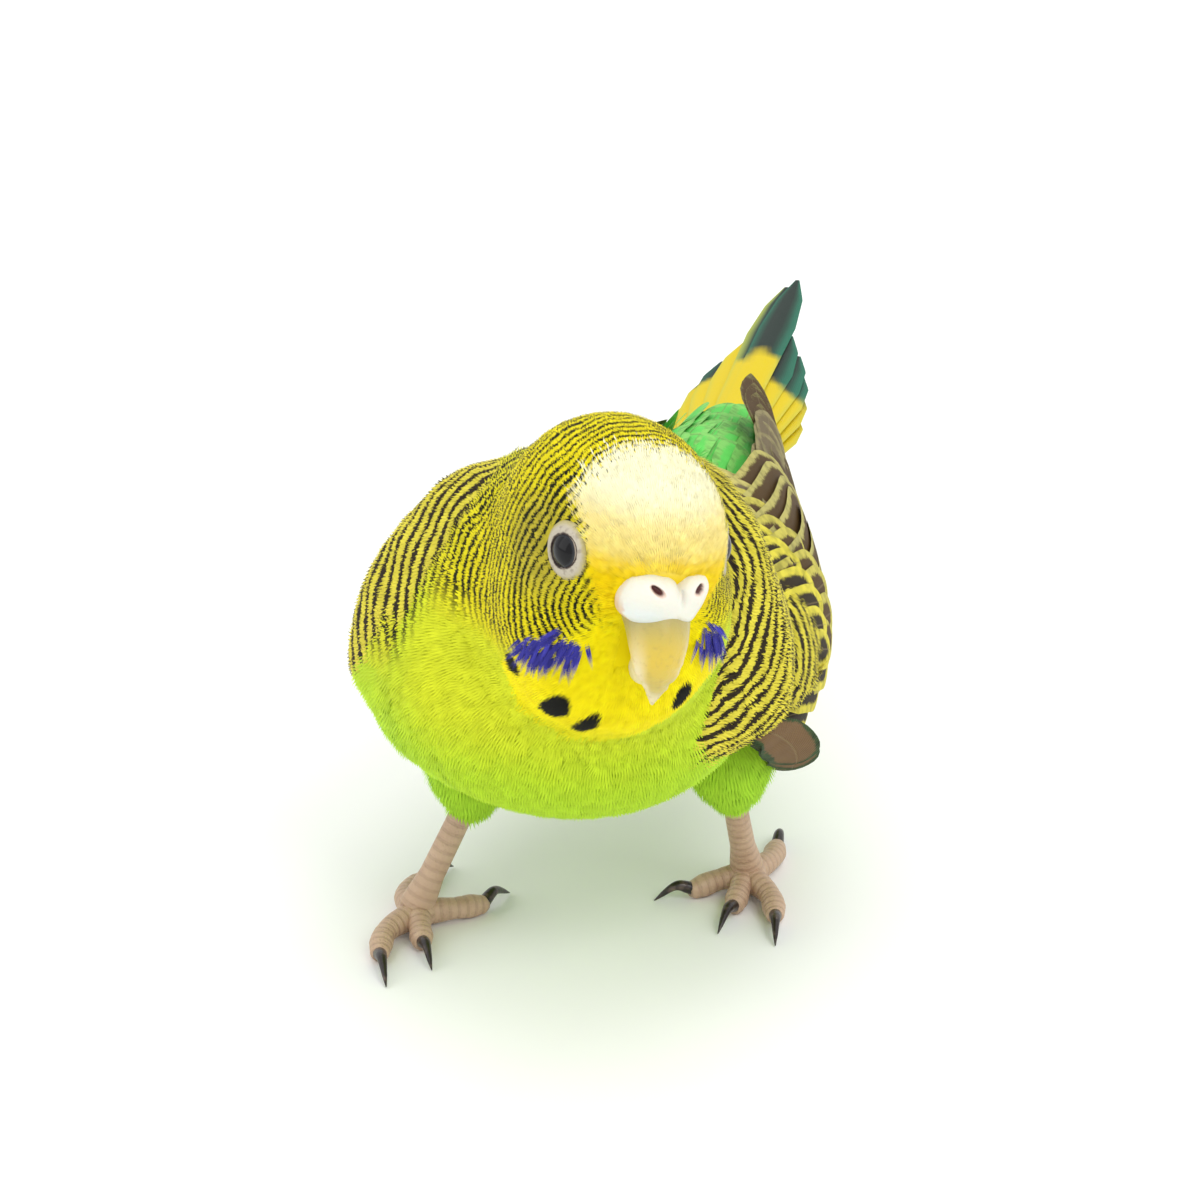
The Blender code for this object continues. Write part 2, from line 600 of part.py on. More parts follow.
def toe_path(leg, toe):
    """The middle line of one toe, which lies on the floor from the joint to its end."""
    joint = np.array(leg["joint"])
    bend, end, _ = leg[toe]
    start = (joint[0], joint[1], TOE_RADIUS[0] * 1.15)
    return curve_through([start, (*bend, TOE_RADIUS[0] * 1.05), (*end, TOE_RADIUS[1] * 0.85)], 7)


def claw(name, leg, toe):
    """A claw: a curved cone that rises from the toe's end and comes down to its tip."""
    path = toe_path(leg, toe)
    along = unit(path[-1] - path[-2])
    tip = np.array((*leg[toe][2], 0.2))
    start = path[-1] - along * 0.4 + np.array([0, 0, 0.15])
    crest = start + (tip - start) * 0.45 + np.array([0, 0, 0.95])
    line = curve_through([start, crest, tip], 6)
    radii = CLAW_RADIUS * np.array([1.0, 0.92, 0.8, 0.6, 0.4, 0.14])
    horn = loft(name, line, radii, 8, flat=0.02)
    return trim(horn, (path[-1], along), 1, GAP)


def leg(side_name, flank):
    """One leg: thigh, tarsus, foot with four toes, and four claws."""
    sizes = LEGS[side_name]
    suffix = "_" + side_name
    combine(thigh_shape("thigh" + suffix, sizes), [flank], "DIFFERENCE")
    heel, joint = np.array(sizes["heel"]), np.array(sizes["joint"])
    down = unit(joint - heel)
    length = np.linalg.norm(joint - heel)
    shank = heel + down * np.linspace(2.2 + GAP, length - 2.6, 5)[:, None]
    loft("tarsus" + suffix, shank, TARSUS_RADIUS * np.array([1.05, 0.95, 0.95, 1.0, 1.15]), 12)
    ankle = heel + down * np.linspace(length - 2.6 + GAP, length, 3)[:, None]
    stub = loft("ankle" + suffix, ankle, TARSUS_RADIUS * np.array([1.2, 1.35, 1.35]), 12)
    pieces = [stub]
    for toe in ("toe_1", "toe_2", "toe_3", "toe_4"):
        radii = np.interp(np.linspace(0, 1, 7), [0, 0.2, 0.5, 0.75, 1], [1.5, 1.45, 1.2, 1.3, 1.0])
        pieces.append(loft(toe + suffix, toe_path(sizes, toe), radii, 8, flat=0.0))
        claw("claw" + toe[3:] + suffix, sizes, toe)
    hub = ball("foot" + suffix, (joint[0], joint[1], 1.7), (2.15, 2.15, 1.95), LEVEL_AXES, 14, 9)
    for vert in hub.data.vertices:
        vert.co.z = max(vert.co.z, 0.0)
    foot = combine(hub, pieces, "UNION")
    for vert in foot.data.vertices:
        vert.co.z = max(vert.co.z, 0.0)


def paint(shape, name, colour, roughness):
    """Give the object one Principled material and smooth shading."""
    material = bpy.data.materials.get(name)
    if material is None:
        material = bpy.data.materials.new(name)
        material.use_nodes = True
        shader = material.node_tree.nodes["Principled BSDF"]
        shader.inputs["Base Color"].default_value = (*colour, 1.0)
        shader.inputs["Roughness"].default_value = roughness
        shader.inputs["Metallic"].default_value = 0.0
    shape.data.materials.clear()
    shape.data.materials.append(material)
    shape.data.shade_smooth()
    shape.data.set_sharp_from_angle(angle=math.radians(35))


FINISHES = {
    "head": ("barred_yellow", (0.72, 0.62, 0.05), 0.75),
    "neck": ("throat_yellow", (0.66, 0.74, 0.05), 0.75),
    "torso": ("grass_green", (0.36, 0.66, 0.04), 0.75),
    "rump": ("rump_green", (0.10, 0.52, 0.10), 0.7),
    "thigh": ("grass_green", (0.36, 0.66, 0.04), 0.75),
    "tail": ("tail_teal", (0.02, 0.16, 0.15), 0.55),
    "wing": ("wing_brown", (0.14, 0.12, 0.04), 0.6),
    "cere": ("cere_white", (0.80, 0.78, 0.80), 0.5),
    "bill": ("bill_horn", (0.62, 0.58, 0.26), 0.35),
    "eye": ("eye_black", (0.01, 0.01, 0.012), 0.1),
    "tarsus": ("leg_pink", (0.55, 0.40, 0.34), 0.6),
    "foot": ("leg_pink", (0.55, 0.40, 0.34), 0.6),
    "claw": ("claw_dark", (0.04, 0.035, 0.035), 0.35),
}


def build():
    """Remove what the scene holds and model the bird, one object for each node."""
    for old in list(bpy.data.objects):
        bpy.data.objects.remove(old)
    head()
    trim(trim(skin("neck"), HEAD_CUT, -1), NECK_CUT, 1)
    trim(trim(skin("torso"), NECK_CUT, -1), RUMP_CUT, 1)
    trim(skin("rump"), RUMP_CUT, -1)
    bill_and_cere()
    for side, side_name in ((1, "left"), (-1, "right")):
        ball("eye_" + side_name, eye_centre(side), (EYE_RADIUS,) * 3, LEVEL_AXES, 16, 10)
    for side_name in LEGS:
        leg(side_name, skin("flank", GAP))
    for side, side_name in ((1, "left"), (-1, "right")):
        thigh_room = thigh_shape("thigh_room", LEGS[side_name], GAP)
        wing("wing_" + side_name, side, [skin("body_room", GAP), thigh_room])
    tail("tail", [skin("body_room", GAP)])
    for shape in bpy.data.objects:
        finish = FINISHES[shape.name.split("_")[0]]
        paint(shape, *finish)


build()
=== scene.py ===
"""A life-size budgerigar that stands on a pale floor with its head turned to its left.

The bird is worked out in millimetres in its own frame: +X is its left, +Y is towards its
tail and +Z is up. One soft union of ellipsoids gives the body. A closed skin is sampled on
it, short tufts of barbs are laid over the skin along the lie of the plumage, and the wings
and tail are tiers of long vanes. Bars, mask, spots and cheek patches are functions of place.
"""
import json
import logging
import math
from collections.abc import Callable
from dataclasses import dataclass, field
from enum import Enum

import bpy
import numpy as np
from mathutils import Matrix

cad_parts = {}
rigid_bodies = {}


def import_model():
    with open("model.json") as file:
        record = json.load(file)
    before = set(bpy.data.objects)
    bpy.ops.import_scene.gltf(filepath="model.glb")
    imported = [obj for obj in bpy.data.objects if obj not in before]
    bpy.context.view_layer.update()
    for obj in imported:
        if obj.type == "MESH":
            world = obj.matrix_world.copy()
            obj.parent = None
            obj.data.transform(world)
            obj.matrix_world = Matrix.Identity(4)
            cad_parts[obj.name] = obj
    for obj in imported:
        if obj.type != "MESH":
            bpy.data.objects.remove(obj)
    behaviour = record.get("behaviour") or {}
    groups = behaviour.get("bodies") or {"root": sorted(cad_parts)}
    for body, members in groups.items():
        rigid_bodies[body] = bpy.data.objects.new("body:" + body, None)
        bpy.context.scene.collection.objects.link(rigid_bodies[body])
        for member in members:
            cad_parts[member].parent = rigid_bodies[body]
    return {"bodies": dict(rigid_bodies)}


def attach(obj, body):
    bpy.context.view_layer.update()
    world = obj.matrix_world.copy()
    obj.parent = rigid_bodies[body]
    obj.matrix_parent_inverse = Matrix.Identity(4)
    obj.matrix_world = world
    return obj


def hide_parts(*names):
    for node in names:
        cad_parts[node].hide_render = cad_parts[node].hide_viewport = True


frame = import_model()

LOG = logging.getLogger("budgerigar")
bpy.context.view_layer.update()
BODY = sorted(frame["bodies"])[0]
ORIGIN = np.array([-4.0, 62.0, 0.0])
MM = 0.001
SEED = 4711
CUBE_PRIMES = np.array([73856093, 19349663, 83492791])


class Side(Enum):
    """The two sides of the bird, as the sign of X."""

    LEFT = 1
    RIGHT = -1

    @property
    def label(self) -> str:
        """The side's name in lower case."""
        return self.name.lower()


# Numbers and curves


def unit(vectors: np.ndarray) -> np.ndarray:
    """Scale vectors to length one: each is divided by its own length."""
    return vectors / np.maximum(np.linalg.norm(vectors, axis=-1, keepdims=True), 1e-9)


def smooth(value: np.ndarray, low: float, high: float) -> np.ndarray:
    """Smooth step from 0 at low to 1 at high: 3t squared less 2t cubed."""
    t = np.clip((value - low) / (high - low), 0.0, 1.0)
    return t * t * (3.0 - 2.0 * t)


def blend(first: np.ndarray, second: np.ndarray, share: np.ndarray) -> np.ndarray:
    """Mix two colours per point: first where share is 0, second where it is 1."""
    share = np.asarray(share)[..., None]
    return np.asarray(first) * (1.0 - share) + np.asarray(second) * share


def linear(red: float, green: float, blue: float) -> np.ndarray:
    """Display colour (0 to 255) to linear light, by the standard 2.4 power curve."""
    shown = np.array([red, green, blue]) / 255.0
    return np.where(shown <= 0.04045, shown / 12.92, ((shown + 0.055) / 1.055) ** 2.4)


def curve_through(points: list | np.ndarray, count: int) -> np.ndarray:
    """Points along a smooth curve.

    Args:
        points: Knots the curve passes through.
        count: How many points to read, evenly in the knots' own count.

    Returns:
        Points of a Catmull-Rom curve: each span blends four knots by cubic weights.
    """
    knots = np.array(points, dtype=float)
    knots = np.vstack([2 * knots[0] - knots[1], knots, 2 * knots[-1] - knots[-2]])
    step = np.linspace(0.0, len(knots) - 3, count)
    index = np.minimum(step.astype(int), len(knots) - 4)
    t = (step - index)[:, None]
    a, b, c, d = knots[index], knots[index + 1], knots[index + 2], knots[index + 3]
    return 0.5 * (2 * b + (c - a) * t + (2 * a - 5 * b + 4 * c - d) * t**2 + (3 * b - a - 3 * c + d) * t**3)


def table_read(value: np.ndarray, table: tuple, column: int) -> np.ndarray:
    """Read one column of a table of knots with smooth cubic steps between its rows.

    Args:
        value: Where to read.
        table: Rows of a place and its numbers.
        column: The number to read.

    Returns:
        One number for each value.
    """
    rows = np.array(table)
    places, heights = rows[:, 0], rows[:, column]
    slopes = np.gradient(heights, places)
    value = np.clip(value, places[0], places[-1])
    index = np.clip(np.searchsorted(places, value) - 1, 0, len(places) - 2)
    span = places[index + 1] - places[index]
    t = (value - places[index]) / span
    rise = heights[index] * (1 + 2 * t) * (1 - t) ** 2 + heights[index + 1] * t**2 * (3 - 2 * t)
    return rise + span * (slopes[index] * t * (1 - t) ** 2 - slopes[index + 1] * t**2 * (1 - t))


# The body's form


@dataclass(frozen=True)
class HeadFrame:
    """The turned head's own axes: forward, left and up from its centre."""

    centre: tuple = (6.5, -24.0, 51.5)
    yaw: float = 35.8
    pitch: float = -4.0
    roll: float = -7.7

    @property
    def axes(self) -> np.ndarray:
        """Rows are forward, left and up, turned by yaw, then pitch, then roll."""
        yaw, pitch, roll = np.radians([self.yaw, self.pitch, self.roll])
        forward = np.array([
            math.sin(yaw) * math.cos(pitch), -math.cos(yaw) * math.cos(pitch), math.sin(pitch)])
        level_left = np.array([math.cos(yaw), math.sin(yaw), 0.0])
        level_up = np.cross(forward, level_left)
        left = level_left * math.cos(roll) + level_up * math.sin(roll)
        up = level_up * math.cos(roll) - level_left * math.sin(roll)
        return np.array([forward, left, up])

    def point(self, forward: float, left: float, up: float) -> np.ndarray:
        """A place given in the head's axes."""
        return np.array(self.centre) + np.array([forward, left, up]) @ self.axes

    def local(self, points: np.ndarray) -> np.ndarray:
        """Forward, left and up of each point, in the head's axes."""
        return (points - np.array(self.centre)) @ self.axes.T


HEAD = HeadFrame()


@dataclass(frozen=True)
class Form:
    """One ellipsoid: centre, half sizes and the three axes they lie along."""

    centre: tuple
    half: tuple
    axes: np.ndarray

    def distance(self, points: np.ndarray) -> np.ndarray:
        """Rough signed distance: the scaled radius k times (k less 1) over the slope's length."""
        local = ((points - np.array(self.centre)) @ self.axes.T) / np.array(self.half)
        near = np.linalg.norm(local, axis=-1)
        slope = np.linalg.norm(local / np.array(self.half), axis=-1)
        return near * (near - 1.0) / np.maximum(slope, 1e-9)


def soft_union(forms: list[Form], points: np.ndarray, reach: float) -> np.ndarray:
    """Smooth least distance: minus reach times the log of the sum of exp(minus distance over reach).

    Args:
        forms: The forms to join.
        points: Places.
        reach: Width of the blend in millimetres.

    Returns:
        Signed distances.
    """
    total = np.zeros(points.shape[:-1])
    for form in forms:
        total += np.exp(-np.clip(form.distance(points), -60.0, 60.0) / reach)
    return -reach * np.log(total)


@dataclass
class BirdForm:
    """The whole body as a distance field: a trunk and a head, blended softly."""

    trunk_reach: float = 2.2
    head_reach: float = 0.9
    body_pitch: float = -9.0
    trunk: list[Form] = field(default_factory=list)
    head: list[Form] = field(default_factory=list)

    def __post_init__(self) -> None:
        """Lay out the ellipsoids of the trunk and the head."""
        turn = math.radians(self.body_pitch)
        level = np.eye(3)
        cos, sin = math.cos(turn), math.sin(turn)
        pitched = np.array([[1, 0, 0], [0, cos, sin], [0, -sin, cos]])
        forward, left, up = HEAD.axes
        skull = np.array([left, -forward, up])
        self.trunk = [
            Form((-3.4, -8.0, 33.0), (20.0, 17.5, 16.5), level),
            Form((-3.4, 12.0, 29.5), (16.5, 27.0, 13.8), pitched),
            Form((-4.2, 12.0, 33.5), (14.5, 31.0, 10.0), pitched),
            Form((-4.5, 44.0, 33.0), (8.6, 20.0, 6.2), pitched),
            Form((-0.7, -11.0, 43.5), (14.7, 14.0, 12.4), level),
            Form((-8.0, -4.5, 37.0), (11.3, 13.5, 10.5), level),
            Form((-15.2, -5.0, 27.5), (8.6, 12.0, 6.2), level),
        ]
        self.head = [
            Form(tuple(HEAD.point(-2.6, -0.3, 1.1)), (10.4, 12.9, 10.8), skull),
            Form(tuple(HEAD.point(3.7, 0.0, 2.2)), (7.6, 7.8, 7.5), skull),
            Form(tuple(HEAD.point(-0.5, -3.6, -6.5)), (7.6, 9.4, 9.0), skull),
            Form(tuple(HEAD.point(-0.5, 3.6, -6.5)), (7.6, 9.4, 9.0), skull),
            Form(tuple(HEAD.point(0.0, 0.0, -11.0)), (9.0, 8.2, 7.5), skull),
        ]

    def trunk_distance(self, points: np.ndarray) -> np.ndarray:
        """Signed distance to the trunk alone."""
        return soft_union(self.trunk, points, self.trunk_reach)

    def distance(self, points: np.ndarray) -> np.ndarray:
        """Signed distance to the body: the softer of trunk and head, blended where they are near."""
        trunk = self.trunk_distance(points)
        skull = soft_union(self.head, points, self.head_reach)
        apart = np.abs(trunk - skull)
        return np.minimum(trunk, skull) - self.trunk_reach * np.log1p(np.exp(-apart / self.trunk_reach))

    def normal(self, points: np.ndarray) -> np.ndarray:
        """Outward unit normals, from the field's central differences over 0.3 mm."""
        steps = np.eye(3) * 0.3
        slope = [self.distance(points + step) - self.distance(points - step) for step in steps]
        return unit(np.stack(slope, -1))

    def depth(self, points: np.ndarray) -> np.ndarray:
        """How far the skin lies inside the plumage: thin on the face, thicker on the body."""
        away = np.linalg.norm(points - FACE, axis=-1)
        return 0.50 + 0.60 * smooth(away, 12.0, 36.0)


FACE = HEAD.point(10.0, 0.0, 0.0)
BIRD = BirdForm()


def cast(origins: np.ndarray, rays: np.ndarray, distance: Callable, steps: int = 30) -> np.ndarray:
    """Length along each ray where a distance turns positive, by halving the span.

    Args:
        origins: Where the rays start, inside the form.
        rays: Unit directions.
        distance: A function of points that is negative inside.
        steps: How many times the span of 60 mm is halved.

    Returns:
        One length for each ray.
    """
    low = np.zeros(origins.shape[:-1])
    high = np.full(origins.shape[:-1], 60.0)
    for _ in range(steps):
        middle = (low + high) / 2.0
        outside = distance(origins + rays * middle[..., None]) > 0.0
        high = np.where(outside, middle, high)
        low = np.where(outside, low, middle)
    return low


# Meshes


def to_world(points: np.ndarray) -> np.ndarray:
    """Millimetres in the bird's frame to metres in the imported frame."""
    return (np.asarray(points) - ORIGIN) * MM


def grid_faces(rows: int, columns: int, wrap: bool = False) -> np.ndarray:
    """Quads of a grid, row by row, closed round its columns when wrap is set.

    Args:
        rows: Rows of points.
        columns: Points in a row.
        wrap: Join the last column to the first.

    Returns:
        Four point numbers for each quad.
    """
    width = columns if wrap else columns - 1
    row, column = np.meshgrid(np.arange(rows - 1), np.arange(width), indexing="ij")
    a = (row * columns + column).ravel()
    b = (row * columns + (column + 1) % columns).ravel()
    return np.stack([a, b, b + columns, a + columns], 1)


def split_quads(quads: np.ndarray) -> np.ndarray:
    """Two triangles for each quad, all the first halves before all the second."""
    return np.vstack([quads[:, [0, 1, 2]], quads[:, [0, 2, 3]]])


def add_object(name: str, data: bpy.types.ID) -> bpy.types.Object:
    """Link a new object that holds the data to the scene.

    Args:
        name: Its name.
        data: Its mesh, camera or light.

    Returns:
        The object.
    """
    shape = bpy.data.objects.new(name, data)
    bpy.context.scene.collection.objects.link(shape)
    return shape


@dataclass
class Piece:
    """A mesh in the making: points in millimetres, faces, and what rides on its points."""

    name: str
    points: np.ndarray
    faces: np.ndarray
    bake: np.ndarray | None = None
    colours: dict[str, np.ndarray] = field(default_factory=dict)
    values: dict[str, np.ndarray] = field(default_factory=dict)
    normals: np.ndarray | None = None

    def build(self, finish: bpy.types.Material, slot: str, *replaced: str) -> bpy.types.Object:
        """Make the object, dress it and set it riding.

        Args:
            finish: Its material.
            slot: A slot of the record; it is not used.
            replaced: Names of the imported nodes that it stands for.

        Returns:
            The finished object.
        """
        mesh = bpy.data.meshes.new(self.name)
        mesh.from_pydata(to_world(self.points), [], self.faces)
        mesh.polygons.foreach_set("use_smooth", np.ones(len(mesh.polygons), bool))
        corner = np.zeros(len(mesh.loops), np.int32)
        mesh.loops.foreach_get("vertex_index", corner)
        if self.bake is not None:
            flat = self.bake if len(self.bake) == len(corner) else self.bake[corner]
            mesh.uv_layers.new(name="OFBake").data.foreach_set("uv", flat.astype(np.float32).ravel())
        for label, table in self.colours.items():
            full = np.concatenate([table, np.ones((len(table), 1))], 1).astype(np.float32)
            mesh.attributes.new(label, "FLOAT_COLOR", "POINT").data.foreach_set("color", full.ravel())
        for label, table in self.values.items():
            numbers = table.astype(np.float32).ravel()
            mesh.attributes.new(label, "FLOAT", "POINT").data.foreach_set("value", numbers)
        mesh.update()
        if self.normals is not None:
            mesh.normals_split_custom_set_from_vertices(self.normals.astype(np.float32))
        mesh.materials.append(finish)
        shape = add_object(self.name, mesh)
        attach(shape, BODY)
        if replaced:
            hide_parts(*replaced)
        LOG.info("%s: %d triangles", self.name, int(len(self.faces) * (self.faces.shape[1] - 2)))
        return shape


def tube_piece(name: str, rings: np.ndarray) -> Piece:
    """A closed skin over rings of points, each end drawn to its ring's middle.

    Args:
        name: The piece's name.
        rings: Points by ring and turn.

    Returns:
        The piece, facing outwards.
    """
    rows, sides, _ = rings.shape
    points = np.vstack([rings.reshape(-1, 3), rings[:1].mean(axis=1), rings[-1:].mean(axis=1)])
    around = np.arange(sides)
    after = (around + 1) % sides
    base = (rows - 1) * sides
    start = np.stack([np.full(sides, rows * sides), around, after], 1)
    end = np.stack([np.full(sides, rows * sides + 1), base + after, base + around], 1)
    faces = np.vstack([split_quads(grid_faces(rows, sides, True)[:, ::-1]), start, end])
    return Piece(name, points, outward(points, faces))


def outward(points: np.ndarray, faces: np.ndarray) -> np.ndarray:
    """Turn a closed shell of triangles the right way: a negative volume is reversed."""
    a, b, c = (points[faces[:, k]] for k in range(3))
    volume = np.einsum("ij,ij->i", a, np.cross(b, c)).sum()
    return faces if volume > 0.0 else faces[:, ::-1]


def spokes(path: np.ndarray, turn: np.ndarray) -> np.ndarray:
    """Unit directions round a path and square to it: one ring of turns for each of its points.

    Args:
        path: Points of the middle line.
        turn: Angles in radians.

    Returns:
        Directions by point and turn.
    """
    along = unit(np.gradient(path, axis=0))
    across = unit(np.cross(along, [0.31, 0.17, 0.93]))
    third = np.cross(along, across)
    turn = turn[None, :, None]
    return np.cos(turn) * across[:, None] + np.sin(turn) * third[:, None]


def loft(name: str, path: np.ndarray, radii: np.ndarray, sides: int, flat: float | None = None) -> Piece:
    """A round tube along a path.

    Args:
        name: The piece's name.
        path: Its middle line.
        radii: One radius for each point of the line.
        sides: How many sides it has.
        flat: A height that no point goes under, if any.

    Returns:
        A closed piece, whose rings stand square to the line.
    """
    turn = np.linspace(0.0, 2 * np.pi, sides, endpoint=False)
    rings = path[:, None] + radii[:, None, None] * spokes(path, turn)
    if flat is not None:
        rings[..., 2] = np.maximum(rings[..., 2], flat)
    return tube_piece(name, rings)


# Shader maths


class Wire:
    """A socket with arithmetic: an expression of wires adds its Math nodes."""

    def __init__(self, paint: "Paint", socket: bpy.types.NodeSocket) -> None:
        """Keep the paint that owns the socket."""
        self.paint = paint
        self.socket = socket

    def _math(self, kind: str, first: "Wire | float", second: "Wire | float | None" = None) -> "Wire":
        """One Math node of a kind, fed by wires or numbers."""
        return self.paint.node("ShaderNodeMath", {"operation": kind}, {0: first, 1: second})["Value"]

    def __add__(self, other: "Wire | float") -> "Wire":
        """Sum."""
        return self._math("ADD", self, other)

    __radd__ = __add__

    def __sub__(self, other: "Wire | float") -> "Wire":
        """Difference."""
        return self._math("SUBTRACT", self, other)

    def __rsub__(self, other: "Wire | float") -> "Wire":
        """Difference, turned round."""
        return self._math("SUBTRACT", other, self)

    def __mul__(self, other: "Wire | float") -> "Wire":
        """Product."""
        return self._math("MULTIPLY", self, other)

    __rmul__ = __mul__

    def wave(self) -> "Wire":
        """A cosine of turns, from 0 to 1: half of (1 plus cos of 2 pi x)."""
        return self._math("COSINE", self * (2 * math.pi)) * 0.5 + 0.5

    def step(self, low: float, high: float) -> "Wire":
        """A smooth step from 0 at low to 1 at high."""
        made = self.paint.node(
            "ShaderNodeMapRange", {"interpolation_type": "SMOOTHSTEP", "clamp": True},
            {"Value": self, "From Min": low, "From Max": high, "To Min": 0.0, "To Max": 1.0})
        return made["Result"]


class Paint:
    """A material in the making, with its Principled shader."""

    def __init__(self, name: str, roughness: float) -> None:
        """Start a material with one shader and an even roughness."""
        self.material = bpy.data.materials.new(name)
        self.material.use_nodes = True
        self.tree = self.material.node_tree
        self.shader = self.tree.nodes["Principled BSDF"]
        self.shader.inputs["Roughness"].default_value = roughness

    def node(self, kind: str, settings: dict | None = None, inputs: dict | None = None) -> dict[str, Wire]:
        """Add a node.

        Args:
            kind: The node's type.
            settings: Its own properties, set first.
            inputs: Values or wires for its sockets, by name or place.

        Returns:
            Its output wires by name.
        """
        made = self.tree.nodes.new(kind)
        for key, value in (settings or {}).items():
            setattr(made, key, value)
        for key, value in (inputs or {}).items():
            if value is None:
                continue
            socket = made.inputs[key]
            if isinstance(value, Wire):
                self.tree.links.new(value.socket, socket)
            else:
                socket.default_value = value
        return {out.name: Wire(self, out) for out in made.outputs if out.enabled}

    def place(self) -> Wire:
        """Object coordinates."""
        return self.node("ShaderNodeTexCoord")["Object"]

    def value(self, name: str) -> Wire:
        """A number kept on the mesh."""
        return self.node("ShaderNodeAttribute", {"attribute_name": name})["Fac"]

    def colour(self, name: str) -> Wire:
        """A colour kept on the mesh."""
        return self.node("ShaderNodeAttribute", {"attribute_name": name})["Color"]

    def grain(self, scale: float, detail: float = 2.0) -> Wire:
        """Noise from 0 to 1 at a scale in waves per metre."""
        made = self.node("ShaderNodeTexNoise", {}, {"Vector": self.place(), "Scale": scale, "Detail": detail})
        return made["Fac"]

    def mix(self, first: Wire | np.ndarray | tuple, second: Wire | np.ndarray | tuple,
            share: Wire | float) -> Wire:
        """Mix two colours by a share.

        Args:
            first: Colour at a share of 0.
            second: Colour at a share of 1.
            share: From 0 to 1.

        Returns:
            The mixed colour.
        """
        made = self.tree.nodes.new("ShaderNodeMix")
        made.data_type = "RGBA"
        for socket, value in ((made.inputs[0], share), (made.inputs[6], first), (made.inputs[7], second)):
            if isinstance(value, Wire):
                self.tree.links.new(value.socket, socket)
            elif isinstance(value, (int, float)):
                socket.default_value = value
            else:
                socket.default_value = (*value, 1.0)
        return Wire(self, made.outputs[2])

    def feed(self, **sockets) -> "Paint":
        """Link wires, or set values, on the shader's sockets, with _ for a space in a name."""
        for key, value in sockets.items():
            socket = self.shader.inputs[key.replace("_", " ")]
            if isinstance(value, Wire):
                self.tree.links.new(value.socket, socket)
            else:
                socket.default_value = value
        return self

    def bump(self, height: Wire, distance: float, strength: float = 1.0) -> "Paint":
        """Raise the surface by a height, in metres of distance."""
        made = self.node("ShaderNodeBump", {}, {"Height": height, "Distance": distance, "Strength": strength})
        return self.feed(Normal=made["Normal"])


# Plumage markings


